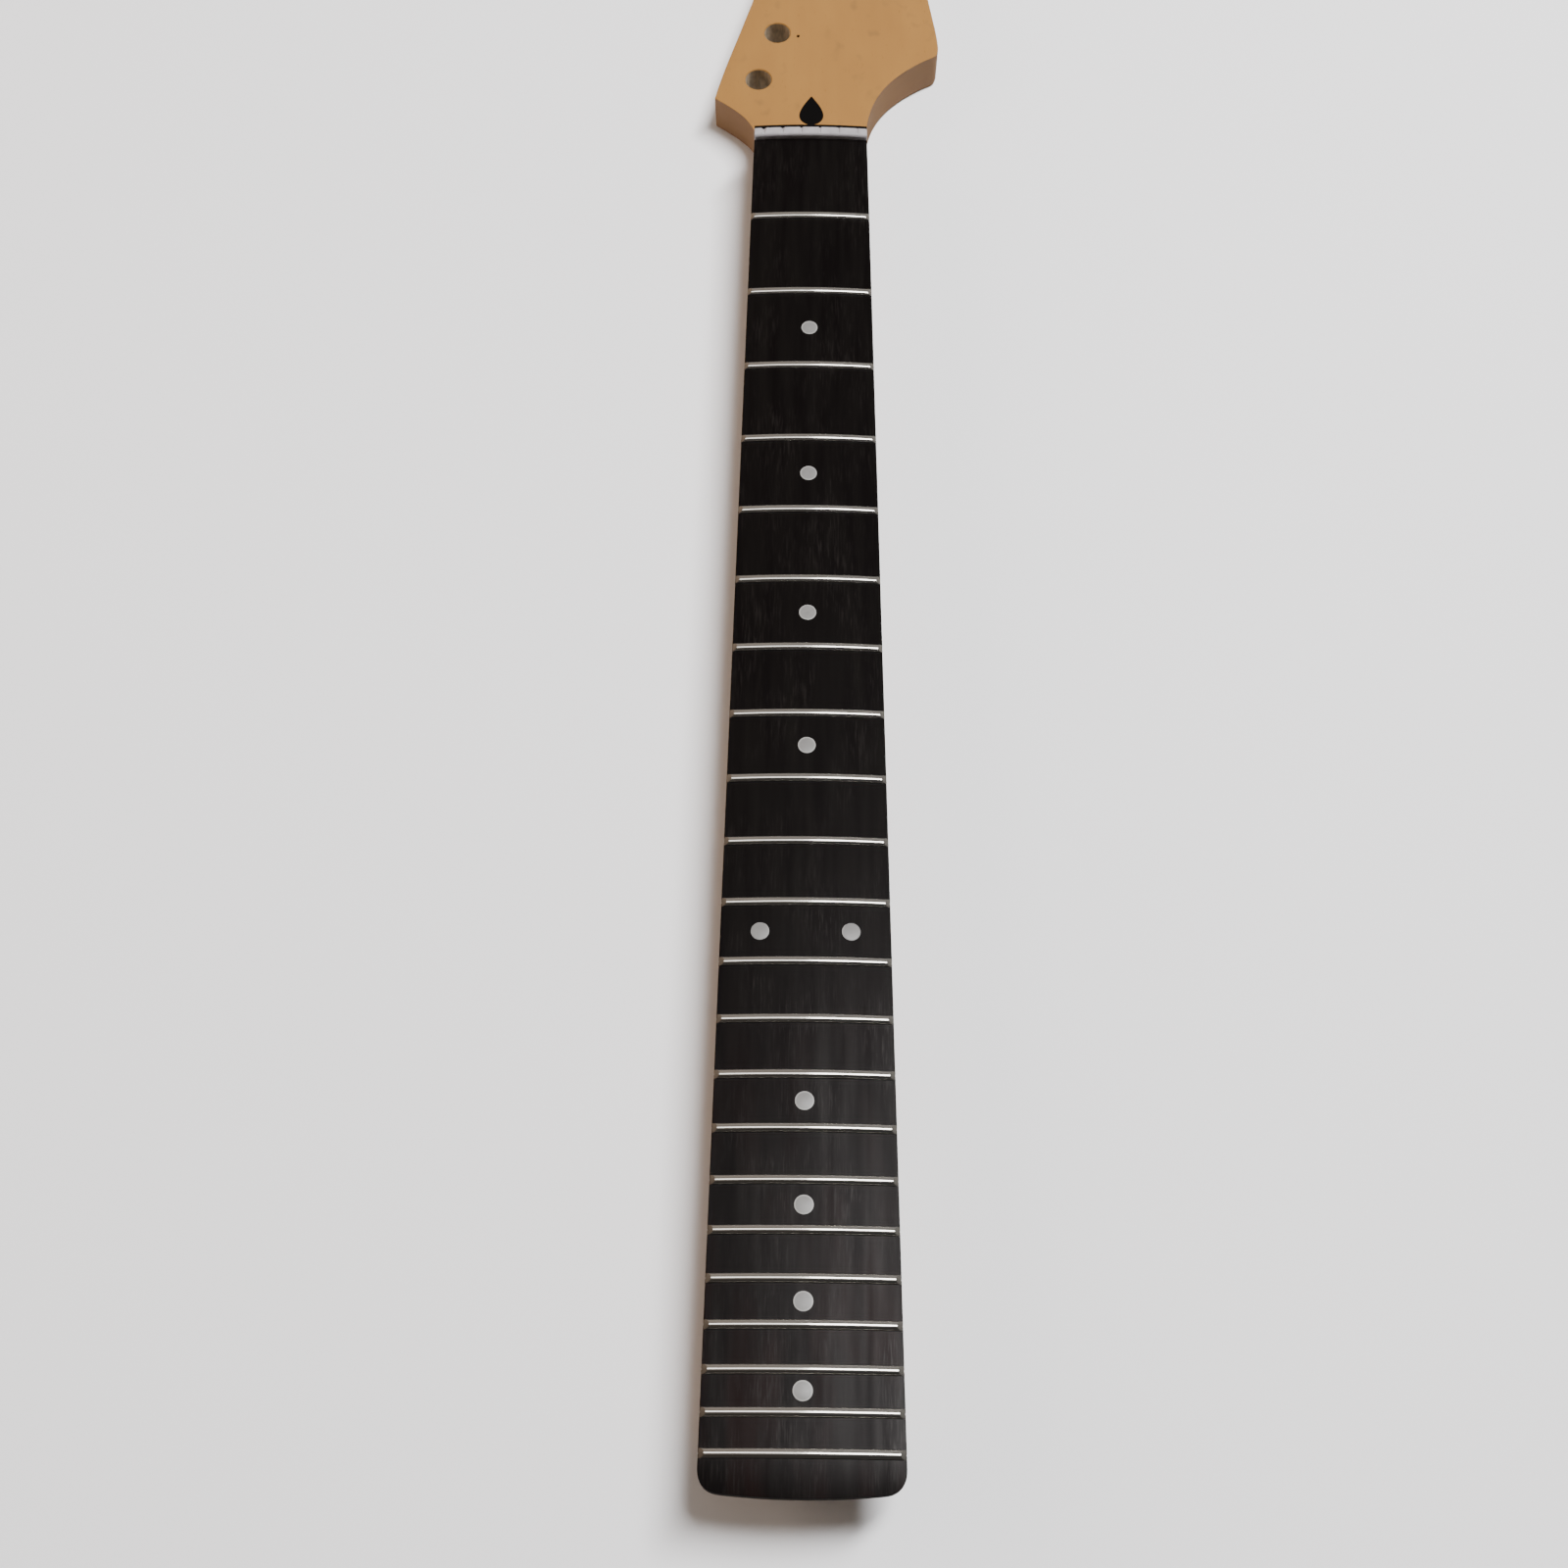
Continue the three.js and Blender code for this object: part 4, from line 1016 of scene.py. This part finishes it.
def oiled_rosewood():
    """Dark rosewood, sanded to a fine grit and oiled.

    Nearly black wood with fine lengthwise streaks and open pores that break up a dull sheen.
    """
    colours = bpy.context.scene.neck_colours
    finish, tree = new_finish("oiled_rosewood")
    zone = pattern(tree, (9, 40, 9))
    band = pattern(tree, (3.6, 48, 3.6), distortion=0.3)
    streak = pattern(tree, (0.5, 7, 0.5), distortion=0.3)
    patch = pattern(tree, (14, 26, 14), 1)
    pore = pattern(tree, (0.25, 3.2, 0.25), 1)
    fine = add(tree, "Math", (add(tree, "MapRange", (streak, 0.5, 0.75)),
                              add(tree, "MapRange", (patch, 0.4, 0.7))), operation="MULTIPLY")
    along = add(tree, "SeparateXYZ", [add(tree, "TexCoord").outputs["Object"]]).outputs["Y"]
    red = add(tree, "Math", (add(tree, "MapRange", (zone, 0.45, 0.65, 0, 0.7)),
                             add(tree, "MapRange", (along, 0.1, -0.03))), operation="MULTIPLY")
    body = stained(tree, colours.rosewood, band, 0.35, 0.7, 1, colours.rosewood_streak)
    body = add(tree, "Mix", (red, body, colours.rosewood_red), data_type="RGBA")
    sheen = add(tree, "Math", (add(tree, "MapRange", (band, 0.3, 0.75, 0.075, 0.11)),
                               add(tree, "MapRange", (fine, 0, 1, 0, 0.07))))
    depth = add(tree, "MapRange", (pore, 0.58, 0.72, 1, 0))
    return finished(finish, {
        "Base Color": add(tree, "Mix", (fine, body, colours.rosewood_fleck), data_type="RGBA"),
        "Roughness": add(tree, "MapRange", (band, 0.3, 0.7, 0.35, 0.29)),
        "Normal": add(tree, "Bump", {"Height": depth, "Distance": 0.02 * MM, "Strength": 0.2}),
        "Specular IOR Level": sheen, "Specular Tint": colour("#fffafa"), "IOR": 1.5})


def polished_nickel_silver():
    """Nickel silver fret wire, filed and polished along its length.

    A warm white metal, bright along its crown, with duller flanks and faint polishing lines.
    """
    finish, tree = new_finish("polished_nickel_silver")
    lines = pattern(tree, (9, 0.14, 0.14))
    polish = add(tree, "MapRange", (lines, 0.35, 0.7, 0.07, 0.12))
    flank = add(tree, "MapRange", (up_share(tree), 0.6, 0.92, 0.3, 0))
    return finished(finish, {
        "Base Color": bpy.context.scene.neck_colours.fret_wire, "Metallic": 1.0,
        "Roughness": add(tree, "Math", (polish, flank))})


def polished_plastic(name, part, shade, rough, shine, rim=None):
    """Moulded plastic, sanded and buffed: one quiet tone with faint cloudiness and wear, and with a rim
    colour a painted highlight round the face's edge.
    """
    finish, tree = new_finish(name)
    cloud = pattern(tree, (3, 3, 3), 3)
    scratch = pattern(tree, (2, 0.12, 2))
    face = getattr(bpy.context.scene.neck_colours, part)
    body = stained(tree, face, cloud, 0.35, 0.7, 1, shade)
    # A lighter ring at the edge of the face: painted highlight of the rounded rim.
    if rim:
        across = add(tree, "VectorMath", (
            add(tree, "TexCoord").outputs["Generated"], (0.5, 0.5, 0.5)), operation="DISTANCE")
        body = stained(tree, body, across, 0.655, 0.668, 1, rim)
    return finished(finish, {
        "Base Color": body,
        "Roughness": add(tree, "MapRange", (scratch, 0.35, 0.7, rough, rough + 0.14)),
        "Normal": add(tree, "Bump", {"Height": scratch, "Distance": 0.005 * MM, "Strength": 0.3}),
        "IOR": 1.5, "Specular IOR Level": shine})


def dark_wood(name, part, shade, rough, shine=0.5):
    """Straight-grained hardwood, dyed or plain, sanded flush and lightly sealed."""
    finish, tree = new_finish(name)
    streak = pattern(tree, (0.7, 26, 0.7), 3, 0.3)
    pore = pattern(tree, (0.2, 3, 0.2), 1)
    face = getattr(bpy.context.scene.neck_colours, part)
    body = stained(tree, face, streak, 0.4, 0.7, 1, shade)
    return finished(finish, {
        "Base Color": stained(tree, body, pore, 0.6, 0.74, 0.7, colour("#0a0706")),
        "Roughness": add(tree, "MapRange", (streak, 0.3, 0.7, rough, rough + 0.15)),
        "Normal": add(tree, "Bump", {"Height": pore, "Distance": 0.02 * MM, "Strength": 0.3}),
        "Specular IOR Level": shine})


def turned_steel():
    """Mild steel, turned on a lathe: a grey metal with fine rings round its axis."""
    finish, tree = new_finish("turned_steel")
    lines = pattern(tree, (0.6, 0.1, 0.6))
    stain = pattern(tree, (3, 3, 3), 3)
    steel = bpy.context.scene.neck_colours.steel
    return finished(finish, {
        "Base Color": stained(tree, steel, stain, 0.4, 0.75, 1, colour("#7c7872")),
        "Metallic": 1.0, "Roughness": add(tree, "MapRange", (lines, 0.3, 0.7, 0.28, 0.42)),
        "Normal": add(tree, "Bump", {"Height": lines, "Distance": 0.01 * MM, "Strength": 0.4})})


FINISHES = {
    "maple": sanded_maple,
    "rosewood": oiled_rosewood,
    "fret_wire": polished_nickel_silver,
    "nut_plastic": lambda: polished_plastic(
        "buffed_nut_plastic", "nut", colour("#8c888b"), 0.3, 0.3),
    # The dots' last colour is a painted highlight ring at their rim.
    "dot_plastic": lambda: polished_plastic(
        "sanded_dot_plastic", "dot", colour("#6b6a69"), 0.28, 0.5, colour("#8d8c8a")),
    "black_wood": lambda: dark_wood(
        "black_dyed_hardwood", "plug", colour("#090808"), 0.45, 0.05),
    "walnut": lambda: dark_wood("sealed_walnut", "walnut", colour("#61422d"), 0.36),
    "steel": turned_steel,
}


def finish_all():
    """Gives every piece and every shown CAD node the finish of its material slot."""
    made = {}
    slots = {part["node"]: part["material_slot"] for part in frame["record"]["subparts"]}
    for piece in bpy.context.scene.objects:
        slot = piece.get("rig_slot") or slots.get(piece.name)
        if piece.type == "MESH" and slot:
            if slot not in made:
                made[slot] = FINISHES[slot]()
            piece.data.materials.clear()
            piece.data.materials.append(made[slot])
    neck = bpy.data.objects["maple_neck"].data
    neck.materials.append(drilled_maple())
    for face in neck.polygons:
        face.material_index = int(in_tuner_hole(face.center))


def in_tuner_hole(place):
    """True on the walls of the six holes, past their chamfered rims."""
    return TUNER_RIM < place.z < HEAD_THICK - TUNER_RIM and any(
        (place - on_head(hole)).xy.length < TUNER_ACROSS / 2 + WELD for hole in tuner_holes())


# Stage

def make_floor():
    settings = bpy.context.scene.stage_settings
    bm = bmesh.new()
    bmesh.ops.create_grid(bm, x_segments=1, y_segments=1, size=3)
    bmesh.ops.translate(bm, verts=bm.verts, vec=Vector((0, 0.2, FLOOR_HEIGHT)))
    floor = add_object("floor", bm)
    floor.data.materials.append(finished(new_finish("plain_pale_floor")[0], {
        "Base Color": settings.floor, "Roughness": 0.9, "Specular IOR Level": 0.1}))
    floor.visible_glossy = False


def area_light(name, place, aim, size, power, tint_of=(1, 1, 1, 1)):
    """A soft rectangular light at a place, turned to a point."""
    lamp = bpy.data.lights.new(name, "AREA")
    lamp.shape, (lamp.size, lamp.size_y) = "RECTANGLE", size
    lamp.energy, lamp.color = power, tint_of[:3]
    light = put(name, lamp)
    light.location = place
    light.rotation_euler = (aim - place).to_track_quat("-Z", "Y").to_euler()
    return light


def make_lights():
    """Two lights that only matt surfaces see, and two ceiling panels that only gloss mirrors."""
    settings = bpy.context.scene.stage_settings
    middle = Vector((0, 0.2, 0))
    key = area_light("key", Vector((0.72, 0.78, 1.9)), middle, (0.42, 1.2), settings.key_power)
    side = area_light("side", Vector((-1.6, 0.5, 0.7)), middle, (1.6, 0.8),
                      settings.side_power, settings.side_tint)
    key.visible_glossy = side.visible_glossy = False
    for name, x, wide, share in (("ceiling", 0.64, 1.2, 1.0), ("ceiling_edge", -0.38, 0.84, 0.15)):
        panel = area_light(name, Vector((x, 0.27, 1.9)), Vector((x, 0.27, 0)), (wide, 0.66),
                           settings.ceiling_power * share)
        panel.visible_diffuse = False


def make_room():
    """Light of the room, stronger past the headstock and dimmer and warmer on the bass side."""
    settings = bpy.context.scene.stage_settings
    world = bpy.data.worlds.new("room")
    world.use_nodes = True
    tree = world.node_tree
    way = add(tree, "SeparateXYZ", [add(tree, "TexCoord").outputs["Generated"]]).outputs
    past_head = add(tree, "MapRange", (way["Y"], -0.6, 0.9, 0.2, 1.6))
    bass_side = add(tree, "MapRange", (way["X"], -0.95, -0.25, 0.7, 1))
    feed(tree, tree.nodes["Background"], {
        "Color": stained(tree, settings.room, way["X"], -0.7, 0.1, 1, settings.far_room),
        "Strength": add(tree, "Math", (past_head, bass_side), operation="MULTIPLY")})
    bpy.context.scene.world = world


def make_camera():
    lens = bpy.data.cameras.new("camera")
    lens.lens, lens.sensor_width = bpy.context.scene.stage_settings.focal, 36.0
    lens.shift_x, lens.shift_y = CAMERA_SHIFT
    camera = put("camera", lens)
    camera.location, camera.rotation_euler = CAMERA_PLACE, CAMERA_TURN
    bpy.context.scene.camera = camera


# Operators, panel and registration

class BuildNeck(bpy.types.Operator):
    """Build the maple neck, the strip in its back and the plug in its headstock"""

    bl_idname = "guitar_neck.neck"
    bl_label = "Maple Neck"

    def execute(self, context):
        make_neck()
        make_plug()
        return {"FINISHED"}


class BuildBoard(bpy.types.Operator):
    """Build the radiused fretboard with its slots and pockets"""

    bl_idname = "guitar_neck.board"
    bl_label = "Fretboard"

    def execute(self, context):
        make_board()
        return {"FINISHED"}


class BuildDots(bpy.types.Operator):
    """Build the position dots on the face and the edge of the fretboard"""

    bl_idname = "guitar_neck.dots"
    bl_label = "Position Dots"

    def execute(self, context):
        make_dots()
        return {"FINISHED"}


class BuildFrets(bpy.types.Operator):
    """Build the fret wires with crowned tops and filed ends"""

    bl_idname = "guitar_neck.frets"
    bl_label = "Frets"

    def execute(self, context):
        for name in FRETS:
            make_fret(name)
        return {"FINISHED"}


class BuildNut(bpy.types.Operator):
    """Build the notched string nut"""

    bl_idname = "guitar_neck.nut"
    bl_label = "String Nut"

    def execute(self, context):
        make_nut()
        return {"FINISHED"}


class BuildRod(bpy.types.Operator):
    """Build the truss rod with its ferrule, washer and adjusting nut"""

    bl_idname = "guitar_neck.rod"
    bl_label = "Truss Rod"

    def execute(self, context):
        make_rod_hardware()
        return {"FINISHED"}


class FinishPieces(bpy.types.Operator):
    """Give every piece its wood, metal or plastic"""

    bl_idname = "guitar_neck.finishes"
    bl_label = "Materials"

    def execute(self, context):
        finish_all()
        return {"FINISHED"}


class SetStage(bpy.types.Operator):
    """Set the floor, the lights and the camera"""

    bl_idname = "guitar_neck.stage"
    bl_label = "Stage"

    def execute(self, context):
        make_floor()
        make_lights()
        make_room()
        make_camera()
        return {"FINISHED"}


OPERATORS = (BuildNeck, BuildBoard, BuildDots, BuildFrets, BuildNut, BuildRod, FinishPieces, SetStage)
GROUPS = {
    "neck_sizes": NeckSizes,
    "fret_sizes": FretSizes,
    "nut_sizes": NutSizes,
    "neck_colours": NeckColours,
    "stage_settings": StageSettings,
}


class GuitarNeckPanel(bpy.types.Panel):
    """Lists the steps that build the neck, with their sizes and colours."""

    bl_idname = "VIEW3D_PT_guitar_neck"
    bl_label = "Electric Guitar Neck"
    bl_space_type = "VIEW_3D"
    bl_region_type = "UI"
    bl_category = "Guitar Neck"

    def draw(self, context):
        layout = self.layout
        for operator in OPERATORS:
            layout.operator(operator.bl_idname)
        for group in GROUPS:
            settings = getattr(context.scene, group)
            box = layout.box()
            for name in settings.__annotations__:
                box.prop(settings, name)


def register():
    for kind in (*GROUPS.values(), *OPERATORS, GuitarNeckPanel):
        bpy.utils.register_class(kind)
    for name, kind in GROUPS.items():
        setattr(bpy.types.Scene, name, PointerProperty(type=kind))


def unregister():
    for name in GROUPS:
        delattr(bpy.types.Scene, name)
    for kind in reversed((*GROUPS.values(), *OPERATORS, GuitarNeckPanel)):
        bpy.utils.unregister_class(kind)


def main():
    register()
    steps = bpy.ops.guitar_neck
    steps.neck()
    steps.board()
    steps.dots()
    steps.frets()
    steps.nut()
    steps.rod()
    steps.finishes()
    steps.stage()


if __name__ == "__main__":
    main()
